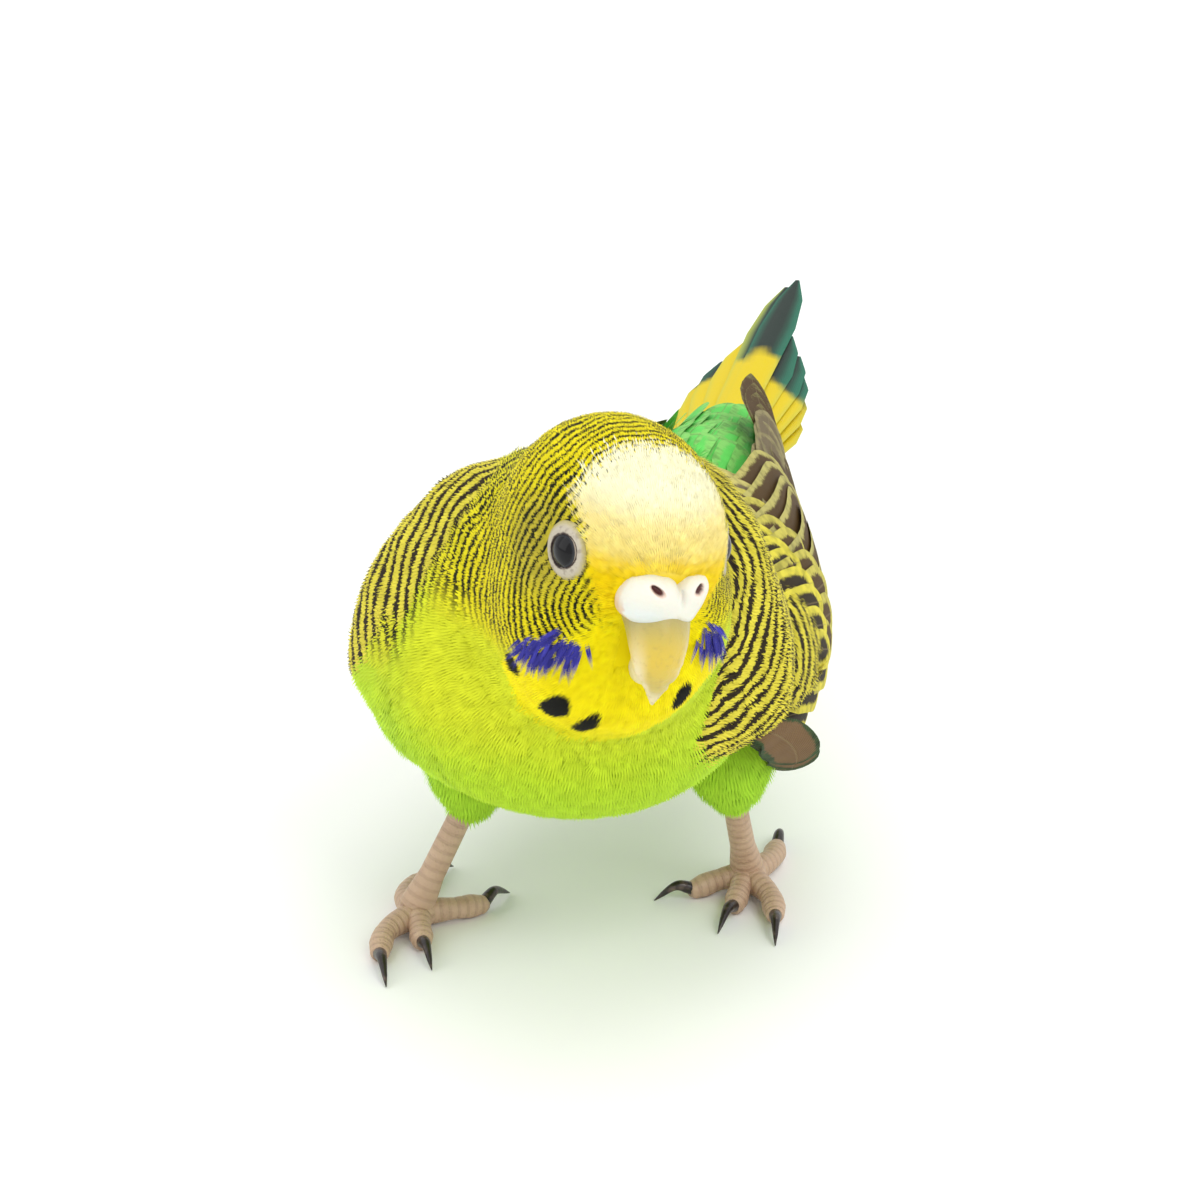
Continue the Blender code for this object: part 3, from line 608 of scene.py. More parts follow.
@dataclass(frozen=True)
class Plumage:
    """Colours and markings of the body's small feathers, as functions of place."""

    mask_yellow: tuple = (255, 236, 0)
    deep_yellow: tuple = (255, 212, 2)
    cream_highlight: tuple = (255, 251, 212)
    # Painted highlight: cream for the top of the forehead
    peach: tuple = (255, 234, 146)
    bar_yellow: tuple = (240, 224, 22)
    nape_yellow: tuple = (222, 220, 44)
    bar_dark: tuple = (30, 34, 16)
    olive: tuple = (184, 170, 66)
    throat_green: tuple = (222, 230, 42)
    breast_green: tuple = (196, 227, 42)
    flank_green: tuple = (170, 222, 56)
    rump_green: tuple = (84, 202, 78)
    spot_black: tuple = (16, 15, 12)
    cheek_violet: tuple = (62, 60, 156)
    mask_edge: tuple = (
        (-30.0, -3.2), (-18.0, -3.0), (-13.0, -2.6), (-10.4, 1.4), (-8.0, 5.6), (-6.1, 7.6), (-4.3, 8.2),
        (-0.6, 8.1), (2.0, 7.4), (5.0, 5.8), (6.4, 3.4), (9.3, 2.0), (14.0, 0.6),
    )
    bib_edge: tuple = (
        (-14.0, -12.0), (-10.5, -12.8), (-8.0, -17.8), (-3.0, -20.2), (0.0, -20.2), (3.0, -18.6),
        (6.0, -14.5), (8.0, -11.2), (10.0, -9.0), (14.0, -6.0),
    )
    green_edge: tuple = (
        (-26.0, 35.0), (-22.0, 36.0), (-18.4, 37.0), (-16.9, 39.6), (-15.4, 42.5), (-13.5, 45.0),
        (-11.0, 44.2), (-8.0, 43.9), (-4.0, 43.4), (3.0, 45.0), (8.0, 48.5), (12.0, 46.0), (18.0, 45.5),
    )
    # Forward, left and up of each spot, its radius, and how far it is squeezed along the other two ways
    spots: tuple = (
        (0.6, -10.7, -12.5, 1.3, 0.72), (4.3, -6.5, -15.1, 1.13, 0.39), (5.0, -3.3, -16.6, 0.92, 0.31),
        (7.3, 5.2, -12.6, 1.0, 0.51), (2.0, 9.8, -11.6, 1.35, 0.72),
    )
    cheek_roots_right: tuple = ((3.9, -9.8, -8.2), (6.1, -8.6, -7.1), (7.8, -7.1, -6.0))
    cheek_roots_left: tuple = ((7.2, 7.7, -5.6), (8.2, 6.7, -4.8), (9.1, 5.7, -4.1))
    bar_line: tuple = ((9.0, 0.0, 8.0), (8.0, 4.6, -2.5))

    def face_reach(self, points: np.ndarray) -> np.ndarray:
        """Distance in millimetres from the middle of the face."""
        return np.linalg.norm(points - FACE, axis=-1)

    def mask_reach(self, points: np.ndarray) -> np.ndarray:
        """Millimetres inside the yellow mask: ahead of an edge read by height, above the bib's edge."""
        forward, left, up = np.moveaxis(HEAD.local(points), -1, 0)
        edge = np.interp(up, *np.array(self.mask_edge).T)
        low = np.interp(left, *np.array(self.bib_edge).T)
        return np.minimum(np.minimum(forward - edge, (up - low) * 0.8), -points[..., 1] - 11.0)

    def spot_reach(self, points: np.ndarray) -> np.ndarray:
        """Millimetres outside the nearest throat spot, negative within one."""
        local = HEAD.local(points)
        away = [np.linalg.norm((local - np.array(spot[:3])) * [spot[4], 1.0, spot[4]], axis=-1) - spot[3]
                for spot in self.spots]
        return np.minimum.reduce(away)

    def bars(self, points: np.ndarray) -> np.ndarray:
        """Strength of the bars: off the mask, and above the edge where the green begins."""
        low = np.interp(points[..., 0], *np.array(self.green_edge).T)
        nape = smooth(points[..., 1], -20.0, -8.0)
        low = low * (1.0 - nape) + np.minimum(low, 40.0) * nape
        above = smooth(points[..., 2] - low, -3.2, 1.2)
        rear = 1.0 - smooth(points[..., 1], 22.0, 34.0)
        return above * rear

    def phase(self, points: np.ndarray) -> np.ndarray:
        """Count of bars outwards from a line down the face.

        The line runs from the forehead to the lores of each side. Bars widen evenly, so the
        count is the log of the distance from it, and three slow waves make them waver.
        """
        local = HEAD.local(points)
        local[..., 1] = np.abs(local[..., 1])
        first, last = (np.array(knot) for knot in self.bar_line)
        way = last - first
        share = np.clip((local - first) @ way / (way @ way), 0.0, 1.0)
        reach = np.linalg.norm(local - first - share[..., None] * way, axis=-1)
        narrow, widen = 0.60, 0.028
        x, y, z = np.moveaxis(points, -1, 0)
        waver = np.sin(1.0 * x + 0.7 * z) + np.sin(0.8 * y - 1.2 * z + 2.0) + np.sin(1.5 * x + 1.1 * y + 4.0)
        return np.log1p(reach * widen / narrow) / widen + 0.15 * waver

    def colour(self, points: np.ndarray) -> tuple[np.ndarray, np.ndarray]:
        """Linear colours of the plumage at each point, before its bars and spots.

        Args:
            points: Places on the skin.

        Returns:
            The body's colour and the mask's colour at each point.
        """
        forward, left, up = np.moveaxis(HEAD.local(points), -1, 0)
        x, y, z = np.moveaxis(points, -1, 0)
        tone = {key: linear(*getattr(self, key)) for key in (
            "mask_yellow", "deep_yellow", "cream_highlight", "peach", "bar_yellow", "nape_yellow", "throat_green",
            "breast_green", "flank_green", "rump_green", "olive")}
        low = smooth(-z, -34.0, -20.0)
        body = blend(tone["throat_green"], tone["breast_green"], smooth(-z, -36.0, -26.0))
        flank = np.clip(low * 0.45 + smooth(np.abs(x + 3.0), 8.0, 20.0) * 0.5, 0, 1)
        body = blend(body, tone["flank_green"], flank)
        body = blend(body, tone["flank_green"], smooth(y, -8.0, 12.0) * 0.6)
        body = blend(body, tone["flank_green"] * 0.93, smooth(-z, -23.0, -15.0) * 0.8)
        body = blend(body, tone["rump_green"], smooth(y, 20.0, 40.0) * smooth(z, 26.0, 36.0))
        barred = blend(tone["bar_yellow"], tone["nape_yellow"], smooth(self.face_reach(points), 20.0, 34.0))
        eye_side = np.stack([forward - 3.0, np.abs(left) - 9.5, up - 1.0], -1)
        olive = 1.0 - smooth(np.linalg.norm(eye_side, axis=-1), 2.5, 6.5)
        barred = blend(barred, tone["olive"], olive * 0.7)
        tint = blend(body, barred, self.bars(points))
        # Painted highlight: the mask pales to cream toward the top of the forehead, where the light falls.
        mask = blend(tone["mask_yellow"], tone["cream_highlight"], smooth(up + forward * 0.1, 3.0, 7.0))
        mask = blend(mask, tone["peach"], smooth(up, 0.5, 3.0) * (1.0 - smooth(up, 4.5, 8.0)) * 0.8)
        mask = blend(mask, tone["deep_yellow"], smooth(forward, 6.0, 9.0) * smooth(up, -4.0, -1.0)
                     * (1.0 - smooth(up, 1.2, 3.4)) * 0.6)
        mask = blend(mask, tone["throat_green"], smooth(-up, 14.5, 19.5) * 0.5)
        return tint, mask

    def marks(self, points: np.ndarray, jitter: np.ndarray) -> dict[str, np.ndarray]:
        """What the shader needs at each point for crisp markings.

        Args:
            points: Places on the skin or on the barbs.
            jitter: A number per point, the same all along a barb, that frays each edge.

        Returns:
            The bars' count and strength, and the signed reach of the mask and of the spots.
        """
        fray = 0.30 + 0.45 * smooth(HEAD.local(points)[..., 2], 2.0, 8.0)
        return {
            "bar_phase": self.phase(points) + jitter * 0.12,
            "bar_strength": self.bars(points),
            "mask_reach": self.mask_reach(points) + jitter * fray,
            "spot_reach": self.spot_reach(points) + jitter * 0.09,
        }


PLUMAGE = Plumage()


# Skin and coat


@dataclass
class Surface:
    """A grid of skin: places, normals and its own unwrap, from which roots are drawn."""

    places: np.ndarray
    normals: np.ndarray

    def roots(self, spacing: float, rng: np.random.Generator, keep: Callable) -> dict[str, np.ndarray]:
        """Evenly spread roots for tufts.

        Args:
            spacing: Mean distance between roots in millimetres.
            rng: Source of the draw.
            keep: A function of places that is true where the tufts grow.

        Returns:
            Places, normals and unwrap of the roots: cells are drawn by area, a place is
            drawn in each, and one is kept in each cube of side spacing.
        """
        p = self.places
        across = p[:-1, 1:] - p[:-1, :-1]
        down = p[1:, :-1] - p[:-1, :-1]
        area = np.linalg.norm(np.cross(across, down), axis=-1)
        usable = area * keep(p[:-1, :-1])
        total = usable.sum()
        count = int(total / spacing**2 * 5.0) + 1
        cell = rng.choice(area.size, count, p=(usable / total).ravel())
        row, column = np.unravel_index(cell, area.shape)
        s, t = rng.random((2, count, 1))

        def read(table: np.ndarray) -> np.ndarray:
            """Bilinear value inside the drawn cells."""
            top = table[row, column] * (1 - t) + table[row, column + 1] * t
            foot = table[row + 1, column] * (1 - t) + table[row + 1, column + 1] * t
            return top * (1 - s) + foot * s

        place = read(self.places)
        key = np.floor(place / spacing).astype(np.int64)
        code = np.bitwise_xor.reduce(key * CUBE_PRIMES, axis=1)
        _, first = np.unique(code, return_index=True)
        rows, columns = self.places.shape[:2]
        unwrap = np.stack([(column + t[:, 0]) / (columns - 1), (row + s[:, 0]) / (rows - 1)], 1)
        return {"place": place[first], "normal": unit(read(self.normals))[first], "unwrap": unwrap[first]}


@dataclass
class Skin:
    """The bird's closed skin, sampled by rays square to a curved spine and fanned at both ends."""

    sides: int = 220
    stations: int = 150
    tail_fan: int = 14
    head_fan: int = 56
    spine: tuple = (
        (-4.5, 56.0, 30.5), (-4.3, 34.0, 32.5), (-4.0, 10.0, 34.0), (-0.5, -10.0, 41.0), (6.5, -24.0, 51.0))
    surface: Surface | None = None

    def sample(self) -> Surface:
        """Cast the rays: a ray turns with the spine, and from the spine's ends it tilts to the pole."""
        spine = curve_through(self.spine, self.stations)
        along = unit(np.gradient(spine, axis=0))
        across = unit(np.cross(along, [0.0, 0.0, 1.0]))
        third = np.cross(across, along)
        tail = np.linspace(-np.pi / 2, 0, self.tail_fan + 1)[:-1]
        head = np.linspace(0, np.pi / 2, self.head_fan + 1)[1:]
        tilt = np.concatenate([tail, np.zeros(self.stations), head])[:, None, None]
        station = np.concatenate([
            np.zeros(self.tail_fan, int), np.arange(self.stations),
            np.full(self.head_fan, self.stations - 1)])
        turn = np.linspace(0.0, 2 * np.pi, self.sides + 1)[None, :, None]
        flat = np.cos(turn) * across[station][:, None] + np.sin(turn) * third[station][:, None]
        rays = np.cos(tilt) * flat + np.sin(tilt) * along[station][:, None]
        origins = np.broadcast_to(spine[station][:, None], rays.shape)
        length = cast(origins, rays, lambda p: BIRD.distance(p) + BIRD.depth(p), 24)
        places = origins + rays * length[..., None]
        places[0] = places[0].mean(axis=0)
        places[-1] = places[-1].mean(axis=0)
        places[:, -1] = places[:, 0]
        self.surface = Surface(places, BIRD.normal(places))
        return self.surface

    def build(self, finish: bpy.types.Material) -> bpy.types.Object:
        """Make the skin's mesh, closed round its columns and drawn to one point at each pole."""
        places = self.surface.places
        rows, columns = places.shape[:2]
        inner = places[1:-1, :-1]
        count = columns - 1
        points = np.vstack([places[0, :1], inner.reshape(-1, 3), places[-1, :1]])
        quads = grid_faces(rows - 2, count, True)[:, ::-1] + 1
        around = np.arange(count)
        after = (around + 1) % count
        last = 1 + (rows - 3) * count
        start = np.stack([np.zeros(count, int), around + 1, after + 1], 1)
        end = np.stack([np.full(count, len(points) - 1), last + after, last + around], 1)
        faces = np.vstack([split_quads(quads), start, end])
        faces = outward(points, faces)
        column = np.concatenate([[0], np.tile(around, rows - 2), [0]])
        row = np.concatenate([[0], np.repeat(np.arange(1, rows - 1), count), [rows - 1]])
        s = column[faces] / count
        s = np.where((s.max(axis=1, keepdims=True) > 0.75) & (s < 0.25), s + 1.0, s)
        bake = np.stack([s, row[faces] / (rows - 1)], -1).reshape(-1, 2)
        tint, mask = PLUMAGE.colour(points)
        piece = Piece("skin", points, faces, bake=bake, colours={"Coat": tint * 0.8, "Mask": mask * 0.85},
                      values=PLUMAGE.marks(points, np.zeros(len(points))))
        return piece.build(finish, "barred_yellow", "head", "neck", "torso", "rump")


@dataclass(frozen=True)
class TuftShape:
    """One tuft: a fan of slim barbs from a common root, of two triangles each."""

    barbs: int
    spread: float
    slim: float

    def template(self) -> tuple[np.ndarray, np.ndarray]:
        """Points (along, across, rise) and triangles: each barb is a kite along its own direction."""
        x = np.linspace(-1.0, 1.0, self.barbs)
        angle = np.radians(self.spread) * x
        reach = 1.0 - 0.2 * x**2
        way = np.stack([np.cos(angle), np.sin(angle)], 1)
        side = np.stack([-np.sin(angle), np.cos(angle)], 1) * self.slim
        base = np.stack([0.0 * x, 0.30 * x], 1)
        middle = base + way * (0.5 * reach)[:, None]
        tip = base + way * reach[:, None]
        flat = np.stack([base, middle - side, middle + side, tip], 1)
        droop = 0.12 * np.abs(x)[:, None] * np.array([0, 1, 1, 1])
        rise = np.array([0.0, 0.72, 0.72, 1.0]) - droop
        points = np.concatenate([flat, rise[..., None]], -1).reshape(-1, 3)
        first = np.arange(self.barbs)[:, None] * 4
        faces = np.concatenate([first + np.array([0, 1, 2]), first + np.array([1, 3, 2])], 0)
        return points, faces


BROAD_TUFT = TuftShape(7, 24.0, 0.075)


@dataclass
class CoatPatch:
    """One region of small feathers, with its spacing, size and lift."""

    name: str
    spacing: float
    length: float
    width: float
    lift: float
    shape: TuftShape
    keep: Callable
    slot: str
    lean: float = 7.0
    tint: tuple | None = None
    barred: bool = False
    clear: Callable | None = None
    vary: float = 0.06
    seed: int = 0
    swell: Callable | None = None
    pitch: float = 0.84

    def grow(self, surface: Surface, flow: Callable, finish: bpy.types.Material) -> bpy.types.Object:
        """Grow the patch.

        Args:
            surface: The skin it grows from.
            flow: A function of places that gives the lie of the coat.
            finish: Its material.

        Returns:
            The patch's object, whose barbs are set along the lie with small random turns.
        """
        rng = np.random.default_rng(SEED + self.seed)
        root = surface.roots(self.spacing, rng, self.keep)
        place, normal = root["place"], root["normal"]
        lie = flow(place)
        lie = unit(lie - normal * np.sum(lie * normal, -1, keepdims=True))
        if self.clear is not None:
            free = self.clear(place + lie * self.length * 0.85)
            place, normal, lie = place[free], normal[free], lie[free]
            root["unwrap"] = root["unwrap"][free]
        count = len(place)
        across = np.cross(normal, lie)
        turn = np.radians(rng.normal(0.0, self.lean, (count, 1)))
        lie, across = lie * np.cos(turn) + across * np.sin(turn), across * np.cos(turn) - lie * np.sin(turn)
        length = (self.length * rng.uniform(0.8, 1.2, count))[:, None, None]
        width = (self.width * rng.uniform(0.85, 1.15, count))[:, None, None]
        lift = (self.lift * rng.uniform(0.6, 1.3, count))[:, None, None]
        if self.swell is not None:
            fuller = self.swell(place)[:, None, None]
            length, lift = length * (1.0 + 0.45 * fuller), lift * (1.0 + 1.9 * fuller)
        shape, faces = self.shape.template()
        along, side, rise = (shape[None, :, k, None] for k in range(3))
        points = place[:, None] + lie[:, None] * along * length + across[:, None] * side * width
        points = points + normal[:, None] * (rise * lift - 0.12)
        corner = len(shape)
        solid = (faces[None] + np.arange(count)[:, None, None] * corner).reshape(-1, 3)
        bake = root["unwrap"][:, None] + np.stack([shape[:, 1], shape[:, 0] - 0.5], -1)[None] * 0.003
        tint, mask = PLUMAGE.colour(place)
        if self.tint is not None:
            tint = np.tile(linear(*self.tint), (count, 1))
        vary = rng.normal(1.0, self.vary, (count, 1)).clip(0.6, 1.5)
        shade = (0.84 + 0.20 * shape[:, 0])[None, :, None]
        colours = {"Coat": (tint * vary)[:, None] * shade, "Mask": (mask * vary)[:, None] * shade}
        jitter = rng.normal(0.0, 1.0, (count, self.shape.barbs)).repeat(4, axis=1).ravel()
        flat = points.reshape(-1, 3)
        values = PLUMAGE.marks(flat, jitter)
        if self.tint is not None:
            values["bar_strength"] = np.zeros(len(flat))
        if self.barred:
            values["bar_strength"] = np.ones(len(flat))
            values["bar_phase"] = self.pitch * PLUMAGE.phase(flat) + jitter * 0.07
        if self.tint is not None or self.barred:
            values["mask_reach"] = np.full(len(flat), -5.0)
            values["spot_reach"] = np.full(len(flat), 5.0)
        bent = unit(np.repeat(normal, corner, axis=0) + np.repeat(lie, corner, axis=0) * 0.15
                    + np.repeat(across, corner, axis=0) * (np.tile(shape[:, 1], count) * 0.5)[:, None])
        piece = Piece(
            self.name, flat, solid, bake=np.clip(bake, 0.0, 1.0).reshape(-1, 2),
            colours={key: np.clip(table.reshape(-1, 3), 0.0, 1.0) for key, table in colours.items()},
            values=values, normals=bent)
        return piece.build(finish, self.slot)


def coat_lie(places: np.ndarray) -> np.ndarray:
    """Lie of the coat: away from the bill on the face, and back along the body beyond it.

    Args:
        places: Roots of the feathers.

    Returns:
        Unit directions.
    """
    bill = HEAD.point(12.5, 0.0, -1.5)
    away = unit(places - bill)
    reach = np.linalg.norm(places - bill, axis=-1)
    back = np.array([-0.06, 1.0, -0.22])
    down = np.array([-0.10, 0.55, -0.85])
    front = smooth(-places[..., 1], 2.0, 20.0) * smooth(-places[..., 2], -46.0, -30.0)
    body = blend(back, down, front * 0.75)
    return unit(blend(away, body, smooth(reach, 14.0, 40.0)))


# Wings


@dataclass(frozen=True)
class VaneFinish:
    """Colours of one tier: its vanes' centre, their edge, and the edge's width in millimetres."""

    centre: tuple
    edge: tuple
    edge_width: float

    def material(self, name: str) -> bpy.types.Material:
        """Edge colour near the outline, centre colour within, and fine slanting barbs as bump.

        Args:
            name: The material's name.

        Returns:
            The material.
        """
        paint = Paint(name, 0.6)
        middle, edge = linear(*self.centre), linear(*self.edge)
        rim = paint.value("edge") + (paint.grain(2600.0, 1.0) - 0.5) * 0.7 + (paint.grain(420.0) - 0.5) * 0.9
        centre = paint.mix(middle, middle * 1.7, paint.grain(420.0, 3.0) * 0.5)
        rim_tint = paint.mix(edge, edge * 0.62, paint.grain(700.0, 3.0).step(0.4, 0.75))
        tint = paint.mix(rim_tint, centre, rim.step(self.edge_width - 0.22, self.edge_width + 0.22))
        barbs = paint.value("barb").wave()
        tint = paint.mix(tint, (0.0, 0.0, 0.0), barbs * 0.14)
        shaft = 1.0 - paint.value("shaft").step(0.02, 0.07)
        tint = paint.mix(tint, linear(140, 122, 86), shaft * 0.35)
        paint.feed(Base_Color=tint, Specular_IOR_Level=0.08)
        paint.bump(barbs + shaft * 1.5, 0.00006, 0.6)
        return paint.material


@dataclass(frozen=True)
class Tier:
    """A row of feathers: how many, first and last root and tip as (y, angle), width, lifts and sides."""

    name: str
    count: int
    roots: tuple
    tips: tuple
    width: float
    lifts: tuple
    finish: VaneFinish
    tip_share: float = 0.7
    both: bool = True
    forward: float = 0.0


def lay_vanes(name: str, middle: np.ndarray, raised: np.ndarray, u: np.ndarray, width: float,
              tip_share: float, hand: int, slant: float) -> Piece:
    """Spread feathers over their middle lines.

    Args:
        name: The piece's name.
        middle: Points along each feather, one row of points for each.
        raised: The same points a little higher over the surface.
        u: Share of the way from root to tip at each point.
        width: Full width in millimetres.
        tip_share: Length of the tapered tip over the width.
        hand: 1 or -1, the side that the outer edges lie on.
        slant: How far one edge dips under the next feather.

    Returns:
        A piece in which each vane narrows by a power of what is left, sharper for a longer tip,
        and dips to both sides by its width squared.
    """
    columns = 7
    count, rows, _ = middle.shape
    outward_way = unit(raised - middle)
    along = unit(np.gradient(middle, axis=1))
    across = unit(np.cross(along, outward_way)) * hand
    length = np.linalg.norm(np.diff(middle, axis=1), axis=-1).sum(axis=1)[:, None, None]
    cap = min(0.42, width * tip_share / float(length.mean()))
    into = np.clip((u - (1.0 - cap)) / cap, 0.0, 1.0)
    full = width / 2 * np.interp(u, [0.0, 0.25, 0.7, 1.0], [0.42, 0.9, 1.0, 1.0])
    half = full * np.clip(1.0 - into**2, 0.0, 1.0) ** (0.4 + 0.2 * tip_share) + 0.02
    v = np.linspace(-1.0, 1.0, columns)
    reach = half[None, :, None] * v[None, None, :]
    fall = (reach**2) / 34.0 - slant * v[None, None, :] * np.minimum(half / 2.0, 1.0)[None, :, None]
    points = middle[:, :, None] + across[:, :, None] * reach[..., None]
    points = points - outward_way[:, :, None] * fall[..., None]
    near = np.hypot(np.abs(reach) / full[None, :, None], into[None, :, None])
    edge = np.broadcast_to((1.0 - near) * width / 2, points.shape[:3])
    shaft = np.broadcast_to(np.abs(v), points.shape[:3])
    barb = (u[None, :, None] * length + np.abs(reach) * 0.9) / 0.42
    cell = math.ceil(math.sqrt(count))
    corner = np.stack([np.arange(count) % cell, np.arange(count) // cell], 1)[:, None, None] / cell
    spot = np.stack(np.broadcast_arrays((v[None, :] + 1) / 2, u[:, None]), -1)[None]
    bake = corner + (0.04 + 0.92 * spot) / cell
    quads = grid_faces(rows, columns)
    quads = quads[:, ::-1] if hand > 0 else quads
    faces = (quads[None] + np.arange(count)[:, None, None] * rows * columns).reshape(-1, 4)
    return Piece(
        name, points.reshape(-1, 3), faces, bake=bake.reshape(-1, 2),
        values={"edge": edge.ravel(), "barb": barb.ravel(), "shaft": shaft.ravel()})


BROWN = (76, 56, 26)
BLACK = (48, 40, 27)
EDGE = (206, 196, 88)
SCALLOP = (226, 214, 74)

# Roots and tips are (millimetres along the body, degrees round from the back), first and last feather
WING_TIERS = (
    Tier("primaries", 9, ((-2.0, 106.0), (8.0, 92.0)), ((76.0, 27.0), (46.0, 74.0)), 5.4, (0.4, 0.7),
         VaneFinish((76, 58, 34), (126, 118, 70), 0.25), 2.4),
    Tier("tertials", 4, ((0.0, 76.0), (3.0, 52.0)), ((62.0, 52.0), (48.0, 54.0)), 5.4, (0.5, 1.0),
         VaneFinish((104, 92, 68), (150, 140, 96), 0.6), 1.4),
    Tier("carpals", 4, ((-10.0, 100.0), (-11.0, 97.0)), ((4.2, 119.5), (-1.4, 112.0)), 5.4, (0.6, 4.6),
         VaneFinish((112, 88, 62), (66, 84, 54), 0.4), 0.7, False, 2.2),
    Tier("secondaries", 10, ((2.0, 101.0), (-2.0, 40.0)), ((33.0, 108.0), (44.0, 58.0)), 6.8, (0.6, 1.2),
         VaneFinish(BROWN, (190, 182, 104), 0.75), 0.9),
    Tier("greater_coverts", 11, ((-2.0, 103.0), (-2.0, 40.0)), ((15.0, 112.0), (22.0, 46.0)), 4.9, (0.7, 1.7),
         VaneFinish(BROWN, EDGE, 0.95), 0.9),
    Tier("median_coverts", 12, ((-5.0, 101.0), (-5.0, 40.0)), ((9.5, 110.0), (13.5, 47.0)), 4.2, (0.8, 2.0),
         VaneFinish(BLACK, SCALLOP, 0.9), 0.95),
    Tier("scapulars_1", 5, ((2.0, 42.0), (4.0, 22.0)), ((26.0, 47.0), (27.0, 23.0)), 6.4, (0.5, 1.5),
         VaneFinish((104, 90, 66), (200, 190, 110), 1.1), 0.9),
    Tier("scapulars_2", 5, ((-4.0, 42.0), (-2.0, 20.0)), ((17.0, 46.0), (18.0, 20.0)), 6.0, (0.5, 1.8),
         VaneFinish((90, 76, 56), (206, 196, 104), 1.1), 0.9),
    Tier("scapulars_3", 6, ((-9.0, 42.0), (-7.0, 18.0)), ((9.0, 46.0), (10.5, 18.0)), 5.0, (0.5, 1.9),
         VaneFinish(BROWN, SCALLOP, 1.0), 0.9, False),
    Tier("scapulars_4", 6, ((-12.0, 44.0), (-10.0, 17.0)), ((3.0, 46.0), (4.5, 17.0)), 4.4, (0.4, 1.9),
         VaneFinish(BLACK, SCALLOP, 0.9), 0.9, False),
)


@dataclass
class Wing:
    """A folded wing of tiers of vanes, laid over a guide round the body's side."""

    side: Side
    raise_share: float = 1.0
    primary_tips: tuple | None = None
    rows: int = 15
    crest: float = 1.6
    slant: float = 0.26
    guide: tuple = (
        (-24.0, -4.0, 32.0, 15.0, 12.0), (0.0, -4.0, 30.0, 22.0, 15.0), (20.0, -4.0, 29.0, 20.6, 14.0),
        (40.0, -4.0, 30.5, 14.2, 10.4), (60.0, -4.5, 32.5, 8.5, 6.5), (80.0, -6.5, 33.0, 5.0, 4.8))

    def ray(self, angle: np.ndarray) -> np.ndarray:
        """Unit directions square to the body's length, turned from straight up to the wing's side."""
        turn = np.radians(angle * self.raise_share)
        return np.stack([self.side.value * np.sin(turn), 0 * turn, np.cos(turn)], -1)

    def place(self, y: np.ndarray, angle: np.ndarray, lift: np.ndarray) -> np.ndarray:
        """A point over the guide: each section's ellipse, or the trunk where wider, plus the lift.

        Args:
            y: Millimetres along the body.
            angle: Degrees round from the back.
            lift: Height over the guide.

        Returns:
            Points.
        """
        y, angle, lift = np.broadcast_arrays(y, angle, lift)
        centre_x, centre_z, wide, high = (table_read(y, self.guide, k) for k in (1, 2, 3, 4))
        ray = self.ray(angle)
        origin = np.stack([centre_x, y, centre_z], -1)
        table = 1.0 / np.hypot(ray[..., 0] / wide, ray[..., 2] / high)
        inside = BIRD.trunk_distance(origin) < 0.0
        body = np.where(inside, cast(origin, ray, lambda p: BIRD.trunk_distance(p) - 0.5, 24), 0.0)
        return origin + ray * (np.maximum(table, body) + lift)[..., None]

    def tier(self, tier: Tier, number: int) -> Piece:
        """One row of feathers.

        Args:
            tier: Its named sizes.
            number: Its place among the tiers, which seeds its small differences.

        Returns:
            A piece in which each vane runs from its root to its tip over the guide.
        """
        rng = np.random.default_rng(SEED + 31 * number + self.side.value)
        count = tier.count
        tips = tier.tips
        if tier.name == "primaries" and self.primary_tips is not None:
            tips = self.primary_tips
        share = np.linspace(0.0, 1.0, count)[:, None]
        root = np.array(tier.roots[0]) * (1 - share) + np.array(tier.roots[1]) * share
        tip = np.array(tips[0]) * (1 - share) + np.array(tips[1]) * share
        tip = tip + rng.normal(0.0, [0.45, 0.7], (count, 2)) * (0.3 if tier.name == "primaries" else 1.0)
        stagger = (number % 2) * 0.5 * (root[1:2, 1:] - root[:1, 1:]) * (count > 10)
        root[:, 1:] += stagger
        tip[:, 1:] += stagger
        u = np.sin(np.linspace(0.0, np.pi / 2, self.rows)) ** 1.15
        y = root[:, :1] + (tip[:, :1] - root[:, :1]) * u
        angle = root[:, 1:] + (tip[:, 1:] - root[:, 1:]) * (0.55 * u + 0.45 * u * u)
        low, high = tier.lifts
        lift = low + (high - low) * np.sqrt(u) + rng.normal(0.0, 0.05, (count, 1))
        middle = self.place(y, angle, lift)
        raised = self.place(y, angle, lift + 1.0) - np.array([0.0, tier.forward, 0.0])
        name = f"wing_{self.side.label}_{tier.name}"
        return lay_vanes(name, middle, raised, u, tier.width, tier.tip_share, self.side.value, self.slant)

    def shoulder(self, y: np.ndarray, angle: np.ndarray) -> np.ndarray:
        """The shoulder's own surface.

        It leaves the body's skin at its front, its top and its foot, and rises by a smooth
        share to the height of the coverts' roots.
        """
        rise = smooth(y, -19.5, -10.0) * smooth(-angle, -108.0, -90.0) * smooth(angle, 4.0, 34.0)
        top = self.place(y, angle, self.crest - 1.1 * smooth(y, -2.0, 14.0))
        ray = self.ray(angle)
        origin = np.stack([table_read(y, self.guide, 1), y, table_read(y, self.guide, 2)], -1)
        skin = origin + ray * (cast(origin, ray, lambda p: BIRD.distance(p) + 0.8, 24))[..., None]
        return skin + (top - skin) * rise[..., None]

    def cape(self) -> Surface:
        """The front of the shoulder as a surface for small barred feathers."""
        y, angle = np.meshgrid(np.linspace(-18.5, 9.0, 100), np.linspace(8.0, 106.0, 130), indexing="ij")
        places = self.shoulder(y, angle)
        normals = unit(np.cross(np.gradient(places, axis=1), np.gradient(places, axis=0)))
        facing = np.sign(np.sum(normals * (places - np.array([-4.0, 0.0, 30.0])), -1, keepdims=True))
        return Surface(places, normals * facing)

